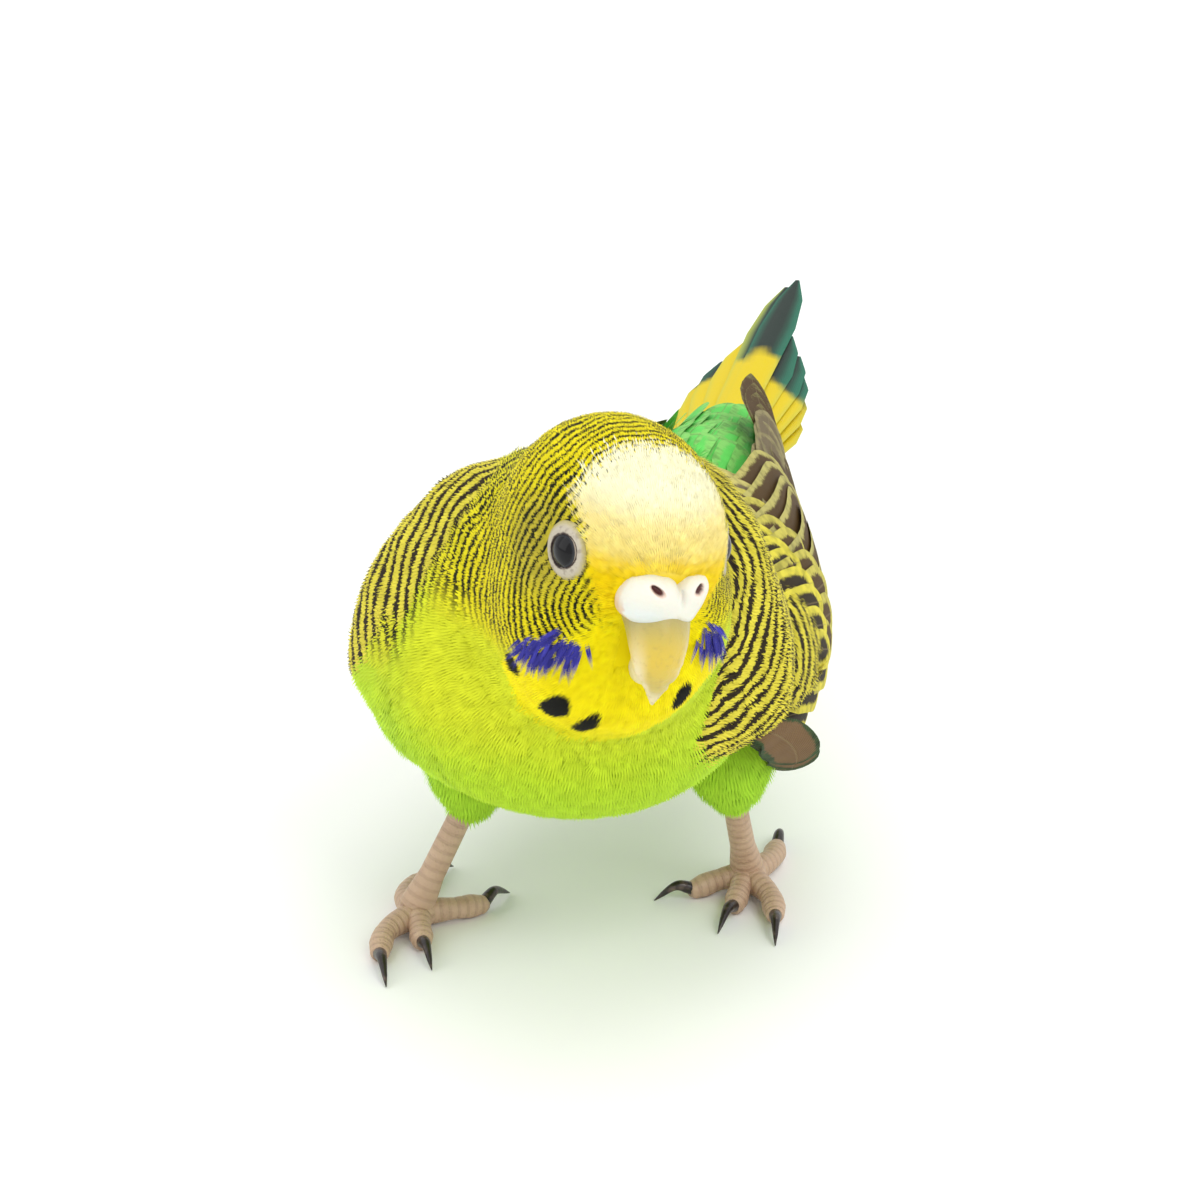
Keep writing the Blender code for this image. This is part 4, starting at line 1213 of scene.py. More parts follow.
    def bed(self) -> Piece:
        """The flesh under the coverts: the shoulder's surface, closed against the body."""
        y, angle = np.meshgrid(np.linspace(-19.5, 14.0, 60), np.linspace(6.0, 108.0, 70), indexing="ij")
        top = self.shoulder(y, angle)
        sunk = self.place(y, angle, np.full(y.shape, -2.6))
        count = y.size
        loop = np.arange(count).reshape(y.shape)
        ring = np.concatenate([loop[0, :-1], loop[:-1, -1], loop[-1, :0:-1], loop[:0:-1, 0]])
        after = np.roll(ring, -1)
        quads = grid_faces(*y.shape)
        wall = np.stack([ring, ring + count, after + count, after], 1)
        faces = np.vstack([quads, quads[:, ::-1] + count, wall])
        points = np.vstack([top.reshape(-1, 3), sunk.reshape(-1, 3)])
        return Piece(f"wing_{self.side.label}_bed", points, outward(points, split_quads(faces)))

    def build(self) -> None:
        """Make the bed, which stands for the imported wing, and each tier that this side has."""
        under = Paint(f"wing_bed_{self.side.label}", 0.8)
        under.feed(Base_Color=under.mix(linear(52, 44, 30), linear(96, 88, 44), under.grain(500.0)))
        self.bed().build(under.material, "wing_brown", f"wing_{self.side.label}")
        for number, tier in enumerate(WING_TIERS):
            if self.side is Side.RIGHT and not tier.both:
                continue
            name = f"vane_{tier.name}_{self.side.label}"
            self.tier(tier, number).build(tier.finish.material(name), "wing_brown")


# Tail


@dataclass
class Tail:
    """Twelve graduated tail feathers: a long middle pair and shorter pairs stepped to each side."""

    root: tuple = (-3.8, 47.0, 32.5)
    tip: tuple = (-16.0, 161.0, 26.0)
    pairs: tuple = (
        (1.0, 0.6, 0.0, 5.6), (0.72, 2.9, 0.8, 6.2), (0.64, 4.9, 1.4, 6.4),
        (0.57, 6.1, 2.0, 6.4), (0.50, 6.8, 2.7, 6.2), (0.42, 7.2, 3.4, 6.0))
    covert_rows: tuple = (
        (9, -12.0, 5.0, 1.0), (8, -8.0, 12.0, 0.9), (8, -4.0, 19.0, 0.7),
        (7, 2.0, 26.0, 0.5), (5, 8.0, 34.0, 0.3))
    arch: tuple = (
        (-12.0, 8.2, 5.7), (0.0, 7.8, 5.3), (9.0, 7.4, 4.2),
        (17.0, 6.8, 3.1), (26.0, 6.0, 2.2), (36.0, 5.4, 1.5))
    rows: int = 44
    columns: int = 9

    def axes(self) -> tuple[np.ndarray, np.ndarray, np.ndarray]:
        """Along the tail, to the bird's left, and up from it."""
        along = unit(np.array(self.tip) - np.array(self.root))
        left = unit(np.cross(along, [0.0, 0.0, 1.0]))
        left = left if left[0] > 0 else -left
        up = np.cross(along, left)
        return along, left, up if up[2] > 0 else -up

    def feather(self, number: int, side: Side) -> tuple[np.ndarray, np.ndarray, np.ndarray, np.ndarray]:
        """One feather's grid of points, colours, barb counts and shaft distances.

        Args:
            number: Its pair, counted from the middle.
            side: Its side.

        Returns:
            The four tables by row and column.
        """
        reach, step, drop, width = self.pairs[number]
        _, left, up = self.axes()
        across = left * side.value
        u = np.sin(np.linspace(0.0, np.pi / 2, self.rows)) ** 1.1
        line = np.array(self.tip) - np.array(self.root)
        short = 0.03 if side is Side.RIGHT else 0.0
        low = drop + (0.35 if side is Side.RIGHT else 0.0)
        spread = step * (0.25 + 0.75 * u**1.3)
        middle = np.array(self.root) + line * (u * (reach - short))[:, None] + across * spread[:, None]
        middle = middle - up * (low * (0.5 + 0.5 * u))[:, None]
        taper = np.interp(u, [0.0, 0.2, 0.75, 0.9, 1.0], [0.45, 0.8, 1.0, 0.72, 0.12])
        half = width / 2 * taper
        v = np.linspace(-0.8, 1.0, self.columns)
        offset = half[:, None] * v[None]
        points = middle[:, None] + across * offset[..., None] - up * (0.16 * np.abs(offset) ** 1.3)[..., None]
        length = reach * np.linalg.norm(line)
        barb = (u[:, None] * length + np.abs(offset) * 1.1) / 0.5
        tint = self.tint(number, side, u[:, None] * reach, v[None])
        return points, tint, barb, np.broadcast_to(np.abs(v), barb.shape)

    def tint(self, number: int, side: Side, along: np.ndarray, across: np.ndarray) -> np.ndarray:
        """Colours of one feather.

        Args:
            number: Its pair, from the middle.
            side: Its side of the tail.
            along: Share of the whole tail's length at each point.
            across: From -1 at the inner edge to 1 at the outer.

        Returns:
            Dark green with a teal margin, crossed by a yellow band whose ends waver.
        """
        deep, teal = linear(26, 44, 37), linear(36, 118, 92)
        yellow, lime = linear(224, 198, 8), linear(186, 194, 80)
        across, along = np.broadcast_arrays(across, along)
        way = along + 0.012 * np.sin(along * 60.0 + across * 3.0 + number) + 0.02 * across**2
        dark = blend(deep, teal, smooth(np.abs(across), 0.35, 0.95) * (0.9 if side is Side.LEFT else 0.45))
        if number == 0:
            fringe = smooth(across, 0.62, 0.92) * (0.85 if side is Side.RIGHT else 0.0)
            dark = blend(dark, lime, fringe)
            ends = (0.22, 0.60)
        elif number == 1:
            ends = (0.20, 0.50 if side is Side.LEFT else 0.80)
        else:
            ends = (0.16, 0.475 if side is Side.LEFT else 0.54)
        start, end = ends
        band = smooth(way, start - 0.03, start + 0.03) * (1.0 - smooth(way, end - 0.015, end + 0.025))
        tint = blend(dark, yellow, band)
        return blend(tint, lime, band * smooth(np.abs(across), 0.7, 1.0) * 0.5)

    def coverts(self) -> None:
        """Green feathers over the tail's root, in rows that step back from the rump.

        Each lies on an arch round the tail's line: its half width and height, read from the
        table by the way along the line, are turned by the feather's angle.
        """
        along, left, up = self.axes()
        rng = np.random.default_rng(SEED + 77)
        u = np.sin(np.linspace(0.0, np.pi / 2, 15)) ** 1.15

        def place(way: np.ndarray, angle: np.ndarray, lift: np.ndarray) -> np.ndarray:
            """A point on the arch, plus its lift."""
            turn = np.radians(angle)
            wide, high = (table_read(way, self.arch, k) + lift for k in (1, 2))
            return (np.array(self.root) + along * way[..., None] + left * (wide * np.sin(turn))[..., None]
                    + up * (high * np.cos(turn))[..., None])

        finish = VaneFinish((92, 198, 84), (134, 212, 104), 0.9)
        for number, (count, start, end, lift) in enumerate(self.covert_rows, start=1):
            side = np.linspace(-1.0, 1.0, count)[:, None]
            tip = end - 4.0 * side**2 + rng.normal(0.0, 0.7, (count, 1))
            way = start + (tip - start) * u[None]
            angle = side * (66.0 + 4.0 * u[None]) + rng.normal(0.0, 1.2, (count, 1))
            high = lift * np.sqrt(u)[None] + rng.normal(0.0, 0.05, (count, 1))
            middle, raised = place(way, angle, high), place(way, angle, high + 1.0)
            piece = lay_vanes(f"tail_coverts_{number}", middle, raised, u, 4.6, 1.0, 1, 0.12)
            piece.build(finish.material(f"tail_covert_{number}"), "rump_green")

    def build(self) -> bpy.types.Object:
        """Join the feathers into one piece and dress it."""
        order = [(number, side) for number in range(len(self.pairs)) for side in Side]
        feathers = zip(*(self.feather(*each) for each in order))
        points, tints, counts, shafts = (np.array(table) for table in feathers)
        size = self.rows * self.columns
        quads = grid_faces(self.rows, self.columns)
        faces = [(quads if side is Side.RIGHT else quads[:, ::-1]) + index * size
                 for index, (_, side) in enumerate(order)]
        cell = 4
        index = np.arange(len(order))
        corner = np.stack([index % cell, index // cell], 1)[:, None] / cell
        u, v = np.meshgrid(np.linspace(0, 1, self.rows), np.linspace(0, 1, self.columns), indexing="ij")
        bake = corner + (0.04 + 0.92 * np.stack([v, u], -1).reshape(-1, 2)) / cell
        paint = Paint("tail_vanes", 0.5)
        barbs = paint.value("barb").wave()
        shaft = 1.0 - paint.value("shaft").step(0.02, 0.06)
        tint = paint.mix(paint.colour("Coat"), (0.0, 0.0, 0.0), barbs * 0.12 + shaft * 0.3)
        paint.feed(Base_Color=tint, Specular_IOR_Level=0.08)
        paint.bump(barbs + shaft * 1.5, 0.00006, 0.6)
        piece = Piece(
            "tail_feathers", points.reshape(-1, 3), np.concatenate(faces), bake=bake.reshape(-1, 2),
            colours={"Coat": tints.reshape(-1, 3)}, values={"barb": counts.ravel(), "shaft": shafts.ravel()})
        return piece.build(paint.material, "tail_teal", "tail")


# Head details


@dataclass
class Eye:
    """One eyeball with its pupil and iris, in a bare ring of wrinkled skin."""

    side: Side
    at: tuple = (4.6, 6.7, 1.75)
    radius: float = 2.6
    look: tuple = (0.34, 0.94, 0.05)

    @property
    def centre(self) -> np.ndarray:
        """The eyeball's centre."""
        deeper = 0.7 if self.side is Side.LEFT else 0.0
        return HEAD.point(self.at[0] - deeper, (self.at[1] - deeper * 0.7) * self.side.value, self.at[2])

    @property
    def axis(self) -> np.ndarray:
        """The way the eye looks."""
        return unit(np.array([self.look[0], self.look[1] * self.side.value, self.look[2]]) @ HEAD.axes)

    def spokes(self, turn: np.ndarray) -> np.ndarray:
        """Unit directions square to the axis, one for each turn."""
        across = unit(np.cross(self.axis, [0.0, 0.0, 1.0]))
        third = np.cross(self.axis, across)
        return np.cos(turn)[:, None] * across + np.sin(turn)[:, None] * third

    def build_ball(self) -> bpy.types.Object:
        """The eyeball: rings by polar angle, tinted by their distance from the axis."""
        turn = np.linspace(0.0, 2 * np.pi, 64, endpoint=False)
        tilt = np.linspace(0.015, np.pi - 0.015, 48)[:, None, None]
        reach = self.radius * (1.0 + 0.03 * np.exp(-((tilt / 0.55) ** 4)))
        rings = self.centre + np.cos(tilt) * reach * self.axis + np.sin(tilt) * reach * self.spokes(turn)
        piece = tube_piece(f"eyeball_{self.side.label}", rings)
        away = piece.points - self.centre
        height = away @ self.axis
        spread = np.linalg.norm(away - height[:, None] * self.axis, axis=1)
        piece.values["iris"] = np.where(height > 0.0, spread, 3.0)
        paint = Paint(f"eye_{self.side.label}", 0.06)
        reach = paint.value("iris") + (paint.grain(3000.0) - 0.5) * 0.06
        iris = paint.mix((0.002, 0.002, 0.003), linear(46, 48, 52), reach.step(1.30, 1.54))
        iris = paint.mix(iris, linear(158, 144, 128), reach.step(1.56, 1.62))
        iris = paint.mix(iris, linear(38, 24, 20), reach.step(1.66, 1.72))
        paint.feed(Base_Color=iris, Specular_IOR_Level=0.28)
        return piece.build(paint.material, "eye_black", f"eye_{self.side.label}")

    def build_ring(self) -> bpy.types.Object:
        """The bare ring round the eye.

        It is a closed roll of skin. Each spoke rises from the lid's edge on the ball and runs
        out to a height cast along the eye's axis onto the head, so it meets the plumage all
        round. Its outline is longer from top to bottom, and fine creases run round and across.
        """
        sides, rows = 96, 17
        axis = self.axis
        turn = np.linspace(0.0, 2 * np.pi, sides, endpoint=False)
        spoke = self.spokes(turn)
        lean = unit(HEAD.axes[2] - 0.50 * HEAD.axes[0])
        longer = 2.0 * (spoke @ lean) ** 2 - 1.0
        inner, outer = 1.66 * (1.0 - 0.06 * longer), 2.56 * (1.0 + 0.11 * longer)
        start = self.centre + spoke * outer[:, None]
        high = cast(start - axis * 3.0, np.broadcast_to(axis, start.shape), BIRD.distance, 24) - 3.0 - 0.40
        share = np.linspace(0.0, 1.0, rows)[:, None]
        radii = inner + (outer - inner) * share
        lid = np.sqrt(self.radius**2 - inner**2) + 0.10
        heights = lid * (1.0 - share) + high * share + 0.16 * np.sin(np.pi * share)
        heights = heights + 0.022 * np.sin(share * 21.0 + 2.2 * np.sin(3.0 * turn))
        heights = heights + 0.020 * np.sin(turn * 29.0)
        radii = np.vstack([radii, outer[None] * 0.98, inner[None] * 0.94])
        heights = np.vstack([heights, high[None] - 0.7, (lid - 0.6)[None]])
        points = self.centre + heights[..., None] * axis + radii[..., None] * spoke[None]
        around = np.arange(sides)
        after = (around + 1) % sides
        last = (rows + 1) * sides
        wrap = np.stack([around + last, after + last, after, around], 1)
        faces = split_quads(np.vstack([grid_faces(rows + 2, sides, True), wrap]))
        flat = points.reshape(-1, 3)
        level = np.repeat(np.append(share[:, 0], [1.0, 0.0]), sides)
        piece = Piece(f"eye_ring_{self.side.label}", flat, outward(flat, faces), values={"lid": level})
        paint = Paint(f"lid_{self.side.label}", 0.6)
        level_wire = paint.value("lid") + (paint.grain(2400.0, 3.0) - 0.5) * 0.22
        tint = paint.mix(linear(50, 32, 26), linear(188, 179, 160), level_wire.step(0.06, 0.20))
        tint = paint.mix(tint, linear(150, 138, 122), paint.grain(1500.0, 3.0).step(0.52, 0.66) * 0.7)
        tint = paint.mix(tint, linear(178, 166, 104), level_wire.step(0.50, 0.98) * 0.9)
        paint.feed(Base_Color=tint)
        paint.bump(paint.grain(3800.0, 3.0), 0.00006)
        return piece.build(paint.material, "cere_white")


@dataclass
class Cere:
    """The waxy cere: a wide low cushion over the bill, parted by a crease into two lobes."""

    middle: tuple = (-0.3, -0.55)
    rear: float = 10.0
    front: float = 3.3
    back: float = 2.6
    rim: tuple = (
        (4.2, 0.75), (3.8, 1.5), (2.8, 1.85), (1.5, 1.7), (0.85, 0.95), (0.3, 1.5), (-1.0, 1.8), (-2.7, 1.75),
        (-3.7, 1.35), (-4.3, 0.35), (-4.65, -1.0), (-4.5, -2.0), (-4.0, -2.5), (-1.8, -3.1), (0.1, -3.05),
        (1.1, -2.7), (2.0, -2.85), (2.8, -2.7), (3.4, -1.6), (4.0, -0.15))
    nostrils: tuple = ((2.4, 1.0), (-1.95, 0.98))
    rows: int = 130
    sides: int = 180

    def outline(self, turn: np.ndarray) -> np.ndarray:
        """Reach of the rim from the middle at each turn, by straight steps between its knots.

        Args:
            turn: Angles in radians.

        Returns:
            Millimetres.
        """
        spoke = np.array(self.rim) - np.array(self.middle)
        angle = np.arctan2(spoke[:, 1], spoke[:, 0]) % (2 * np.pi)
        order = np.argsort(angle)
        return np.interp(turn, angle[order], np.hypot(*spoke.T)[order], period=2 * np.pi)

    def build(self) -> bpy.types.Object:
        """A closed cushion.

        Rings run from the front pole to the rear one. A ring's reach is the rim's times the
        sine of its tilt to a power under one, and its height is the cosine, swollen by a bell
        on each lobe and sunk by a narrow bell along the crease and an oval bell in each nostril.
        """
        tilt = np.linspace(0.015, np.pi - 0.015, self.rows)[:, None]
        turn = np.linspace(0.0, 2 * np.pi, self.sides, endpoint=False)[None, :]
        smoothed = sum(self.outline(turn + offset) for offset in (-0.06, -0.03, 0.0, 0.03, 0.06)) / 5.0
        reach = smoothed * np.sin(tilt) ** 0.72
        left = self.middle[0] + reach * np.cos(turn)
        up = self.middle[1] + reach * np.sin(turn)
        face = np.clip(np.cos(tilt), 0.0, 1.0)
        lobes = 0.62 * np.exp(-(((left + 2.1) / 1.8) ** 2) - ((up - 0.5) / 1.5) ** 2)
        lobes = lobes + 0.5 * np.exp(-(((left - 2.3) / 1.1) ** 2) - ((up - 0.6) / 1.4) ** 2)
        crease = np.exp(-(((left - 0.72 - 0.05 * up) / 0.20) ** 2)) * smooth(up, -1.1, 0.9)
        valley = np.exp(-(((left - 0.72) / 0.75) ** 2)) * smooth(up, -0.9, 1.6)
        pit = np.zeros(left.shape)
        for spot in self.nostrils:
            side = 1.0 if spot[0] > 0 else -1.0
            over, above = left - spot[0], up - spot[1]
            long_way = over * side * 0.91 + above * 0.41
            short_way = above * 0.91 - over * side * 0.41
            pit = np.maximum(pit, np.exp(-((long_way / 0.60) ** 2 + (short_way / 0.31) ** 2) ** 2))
        ahead = np.where(tilt <= np.pi / 2, self.front * face**0.9, self.back * np.cos(tilt)) + face * lobes
        ahead = ahead - np.minimum(face * 3.0, 1.0) * (0.45 * crease + 0.55 * valley + 0.8 * pit)
        ahead = ahead - 0.05 * np.maximum(left - 0.7, 0.0) ** 2 * face
        local = np.stack([self.rear + ahead, left, up], -1)
        piece = tube_piece("cere_soft", np.array(HEAD.centre) + local @ HEAD.axes)
        waver = 0.05 * np.sin(turn * 23.0) + 0.03 * np.sin(turn * 41.0 + 1.0)
        edge = smooth(tilt + waver, 1.16, 1.30) * smooth(-np.sin(turn), -0.1, 0.35) + 0.0 * left
        rim_shadow = smooth(tilt, 1.38, 1.52) + 0.0 * left
        cool = smooth(-up, -0.2, 1.8) * smooth(-left, -0.5, 3.0) * face
        tint = blend(linear(228, 227, 214), linear(214, 226, 228), cool * 0.8)
        # Painted shadow: a brownish band along the cere's rim, strongest on its lower half.
        tint = blend(tint, linear(214, 176, 140), np.clip(edge + 0.35 * rim_shadow, 0.0, 1.0) * 0.75)
        # Painted shade: darker along the crease between the lobes.
        tint = blend(tint, linear(206, 190, 172), crease * face * 0.6)
        tint = blend(tint, linear(222, 180, 160), smooth(pit, 0.02, 0.3) * 0.6)
        # Painted shade: dark centres of the nostrils, for the depth of the openings.
        tint = blend(tint, linear(74, 24, 20), smooth(pit, 0.32, 0.75))
        flat = tint.reshape(-1, 3)
        piece.colours["Coat"] = np.vstack([flat, flat[:1], flat[-1:]])
        paint = Paint("cere_wax", 0.42)
        paint.feed(Base_Color=paint.colour("Coat"), Subsurface_Weight=0.12, Subsurface_Scale=0.001)
        paint.bump(paint.grain(2400.0, 4.0) + paint.grain(700.0), 0.00007)
        return piece.build(paint.material, "cere_white", "cere")


@dataclass
class Bill:
    """The hooked upper bill with its worn pale margin, and the small lower bill behind it."""

    stations: tuple = (
        (7.6, -0.3, -1.6), (10.0, -0.35, -2.6), (11.8, -0.5, -4.9), (12.2, -0.45, -7.8), (11.3, 0.1, -11.2))
    rows: int = 64
    sides: int = 56

    def upper(self) -> bpy.types.Object:
        """Sections along the hook: ovals that are keeled in front and notched two thirds of the way down."""
        path = curve_through([HEAD.point(*station) for station in self.stations], self.rows)
        u = np.linspace(0.0, 1.0, self.rows)
        wide = np.interp(
            u, [0.0, 0.25, 0.5, 0.66, 0.755, 0.80, 0.89, 1.0],
            [3.3, 3.25, 2.85, 2.42, 2.02, 1.36, 0.86, 0.14])
        deep = np.interp(u, [0.0, 0.35, 0.6, 0.85, 1.0], [3.2, 2.8, 2.2, 1.1, 0.15])
        along = unit(np.gradient(path, axis=0))
        side = HEAD.axes[1][None]
        front = unit(np.cross(along, side))
        front = front if (front[5] @ HEAD.axes[0]) > 0 else -front
        turn = np.linspace(0.0, 2 * np.pi, self.sides, endpoint=False)[None, :, None]
        keel = 1.0 + 0.07 * np.exp(-((turn - np.pi / 2) ** 2) / 0.12)
        offset = np.cos(turn) * wide[:, None, None] * side[:, None]
        offset = offset + np.sin(turn) * keel * deep[:, None, None] * front[:, None]
        rough = np.random.default_rng(SEED).normal(0.0, 0.05, self.rows) * smooth(u, 0.5, 0.9)
        piece = tube_piece("bill_upper_horn", path[:, None] + offset * (1.0 + rough)[:, None, None])
        high = np.append(np.repeat(u, self.sides), [0.0, 1.0])
        round_way = np.append(np.tile(turn.ravel(), self.rows), [0.0, 0.0])
        margin = smooth(np.abs(np.cos(round_way)), 0.55, 0.95)
        tint = blend(linear(160, 150, 104), linear(192, 174, 88), smooth(high, 0.25, 0.55))
        tint = blend(tint, linear(218, 186, 44), np.exp(-(((high - 0.60) / 0.15) ** 2)) * 0.75)
        pale = np.clip(margin * smooth(high, 0.35, 0.72) + smooth(high, 0.78, 0.92), 0, 1)
        tint = blend(tint, linear(230, 216, 174), pale * 0.85)
        piece.colours["Coat"] = tint
        paint = Paint("bill_horn_upper", 0.34)
        growth = paint.grain(1500.0, 4.0)
        streaked = paint.mix(paint.colour("Coat"), linear(160, 140, 80), growth.step(0.5, 0.75) * 0.3)
        paint.feed(Base_Color=streaked, Subsurface_Weight=0.12, Subsurface_Scale=0.001, Coat_Weight=0.25,
                   Coat_Roughness=0.25)
        paint.bump(growth + paint.grain(5200.0) * 0.4, 0.00008)
        return piece.build(paint.material, "bill_horn", "bill_upper")

    def lower(self) -> bpy.types.Object:
        """A small cup: an ellipsoid whose front is pared back under the hook."""
        forward, left, up = HEAD.axes
        tilt = np.linspace(0.02, np.pi - 0.02, 40)[:, None, None]
        turn = np.linspace(0.0, 2 * np.pi, 48, endpoint=False)[None, :, None]
        centre = HEAD.point(8.5, -0.1, -8.4)
        shape = (np.sin(tilt) * np.cos(turn) * 1.45 * left + np.sin(tilt) * np.sin(turn) * 1.8 * forward
                 + np.cos(tilt) * 1.9 * up)
        piece = tube_piece("bill_lower_horn", centre + shape)
        paint = Paint("bill_horn_lower", 0.4)
        paint.feed(Base_Color=paint.mix(linear(214, 200, 140), linear(236, 228, 196), paint.grain(900.0)))
        paint.bump(paint.grain(3000.0, 3.0), 0.00008)
        return piece.build(paint.material, "bill_horn", "bill_lower")


# Legs


@dataclass(frozen=True)
class LegPlan:
    """One leg's joints, and for each toe its bend, its end and its claw's tip on the floor."""

    side: Side
    hip: tuple
    knee: tuple
    heel: tuple
    joint: tuple
    toes: tuple


LEG_PLANS = (
    LegPlan(Side.RIGHT, (-13.0, 3.5, 27.0), (-14.8, -5.4, 20.4), (-15.2, -5.0, 15.0), (-20.6, -7.6, 2.6), (
        ((-17.2, -5.4), (-14.4, -2.4), (-13.3, 2.4)), ((-19.2, -11.0), (-18.1, -13.6), (-15.9, -17.4)),
        ((-22.4, -12.6), (-21.7, -17.4), (-19.3, -22.2)), ((-23.2, -3.6), (-22.3, 2.6), (-21.2, 7.2)))),
    LegPlan(Side.LEFT, (7.5, 10.0, 27.0), (10.8, 2.0, 20.5), (11.2, 2.8, 15.6), (11.3, 10.6, 2.6), (
        ((8.6, 8.8), (5.9, 6.2), (2.4, 4.6)), ((11.4, 6.8), (11.5, 3.2), (10.9, -1.4)),
        ((14.8, 6.4), (16.4, 2.2), (17.4, -2.6)), ((12.9, 15.2), (12.7, 20.2), (12.2, 24.8)))),
)


@dataclass
class Leg:
    """A feathered thigh, a scaled tarsus and four toes with their claws."""

    plan: LegPlan
    tarsus_radius: float = 1.4
    toe_radii: tuple = (1.45, 1.15)
    claw_radius: float = 0.72
    thigh_radii: tuple = (7.0, 6.0, 3.7, 1.9)

    @property
    def label(self) -> str:
        """The side's name."""
        return self.plan.side.label

    def skin_paint(self) -> bpy.types.Material:
        """Scaled pinkish skin: plates across the front as bump, darker in their joints."""
        paint = Paint(f"leg_skin_{self.label}", 0.5)
        plates = paint.value("plate").wave()
        seam = 1.0 - plates.step(0.05, 0.40)
        tint = paint.mix(linear(206, 178, 150), linear(176, 144, 116), paint.grain(500.0, 3.0))
        tint = paint.mix(tint, linear(132, 104, 84), seam * 0.22)
        cells = paint.node("ShaderNodeTexVoronoi", {}, {"Vector": paint.place(), "Scale": 2200.0})["Distance"]
        paint.feed(Base_Color=tint)
        paint.bump(plates.step(0.05, 0.5) * 0.7 + cells.step(0.0, 0.5) * 0.5, 0.00008)
        return paint.material

    def thigh(self) -> Surface:
        """The thigh as a grid of rings along hip, knee and heel, thinning to a cuff."""
        plan = self.plan
        heel, joint = np.array(plan.heel), np.array(plan.joint)
        cuff = heel + unit(joint - heel) * 0.8
        path = np.vstack([curve_through([plan.hip, plan.knee, plan.heel], 30), [cuff]])
        share = np.linspace(0, 1, len(path))
        radii = np.interp(share, [0.0, 0.45, 0.8, 1.0], self.thigh_radii) * 0.80
        spoke = spokes(path, np.linspace(0.0, 2 * np.pi, 49))
        return Surface(path[:, None] + radii[:, None, None] * spoke, spoke)

    def build_thigh(self, skin: bpy.types.Material, coat: bpy.types.Material) -> None:
        """The thigh's skin and its own short coat, which lies down the leg.

        Args:
            skin: Finish of the skin.
            coat: Finish of its feathers.
        """
        surface = self.thigh()
        piece = tube_piece(f"thigh_skin_{self.label}", surface.places[:, :-1])
        tint, mask = PLUMAGE.colour(piece.points)
        piece.colours = {"Coat": tint * 0.8, "Mask": mask}
        piece.values = PLUMAGE.marks(piece.points, np.zeros(len(piece.points)))
        piece.build(skin, "grass_green", f"thigh_{self.label}")
        down = unit(np.array(self.plan.heel) - np.array(self.plan.knee)) + np.array([0.0, 0.25, -0.4])
        patch = CoatPatch(
            f"thigh_coat_{self.label}", 0.52, 2.6, 1.5, 0.5, TuftShape(6, 24.0, 0.09),
            lambda p: BIRD.distance(p) > -1.2, "grass_green", seed=90 + self.plan.side.value)
        patch.grow(surface, lambda p: np.broadcast_to(down, p.shape), coat)

    def toe_path(self, toe: tuple) -> np.ndarray:
        """The middle line of a toe, from the joint along the floor.

        Args:
            toe: Its bend, its end and the tip of its claw, in millimetres.

        Returns:
            Points from the joint to the end.
        """
        joint = self.plan.joint
        bend, end, _ = toe
        first, last = self.toe_radii
        knots = [(joint[0], joint[1], first * 1.15), (*bend, first * 1.05), (*end, last * 0.85)]
        return curve_through(knots, 42)

    def build_foot(self, finish: bpy.types.Material) -> None:
        """Tarsus and toes, their radius swelling under each joint, and one claw to each toe."""
        plan = self.plan
        heel, joint = np.array(plan.heel), np.array(plan.joint)
        down = unit(joint - heel)
        length = float(np.linalg.norm(joint - heel))
        shank = heel + down * np.linspace(0.6, length + 0.3, 46)[:, None]
        share = np.linspace(0, 1, 46)
        radii = self.tarsus_radius * np.interp(share, [0, 0.2, 0.7, 0.9, 1.0], [1.05, 0.92, 0.98, 1.25, 1.35])
        pieces = [loft(f"tarsus_skin_{self.label}", shank, radii, 28)]
        pieces[0].values["plate"] = np.append(np.repeat(share * length / 1.15, 28), [0.0, 0.0])
        for number, toe in enumerate(plan.toes, start=1):
            path = self.toe_path(toe)
            u = np.linspace(0, 1, len(path))
            long_way = float(np.linalg.norm(np.diff(path, axis=0), axis=1).sum())
            radii = np.interp(u, [0, 0.2, 0.5, 0.75, 0.94, 1], [1.5, 1.42, 1.15, 1.28, 1.0, 0.62])
            radii = radii * (1.0 + 0.007 * np.cos(u * long_way / 0.95 * 2 * np.pi))
            part = loft(f"toe_skin_{number}_{self.label}", path, radii, 24, flat=0.0)
            part.values["plate"] = np.append(np.repeat(u * long_way / 0.95, 24), [0.0, 0.0])
            pieces.append(part)
            self.build_claw(number, toe, path)
        hub_tilt = np.linspace(0.05, np.pi - 0.05, 24)[:, None, None]
        hub_turn = np.linspace(0.0, 2 * np.pi, 32, endpoint=False)[None, :, None]
        spoke = np.concatenate([
            np.sin(hub_tilt) * np.cos(hub_turn) * 2.15, np.sin(hub_tilt) * np.sin(hub_turn) * 2.15,
            np.cos(hub_tilt) * 1.95 + 0 * hub_turn], -1)
        rings = np.array([joint[0], joint[1], 1.75]) + spoke
        rings[..., 2] = np.maximum(rings[..., 2], 0.0)
        hub = tube_piece(f"foot_hub_{self.label}", rings)
        hub.values["plate"] = np.append(np.repeat(np.linspace(0, 5, 24), 32), [0.0, 0.0])
        pieces.append(hub)
        replaced = [(f"tarsus_{self.label}",)] + [()] * 4 + [(f"foot_{self.label}",)]
        for piece, names in zip(pieces, replaced):
            piece.build(finish, "leg_pink", *names)

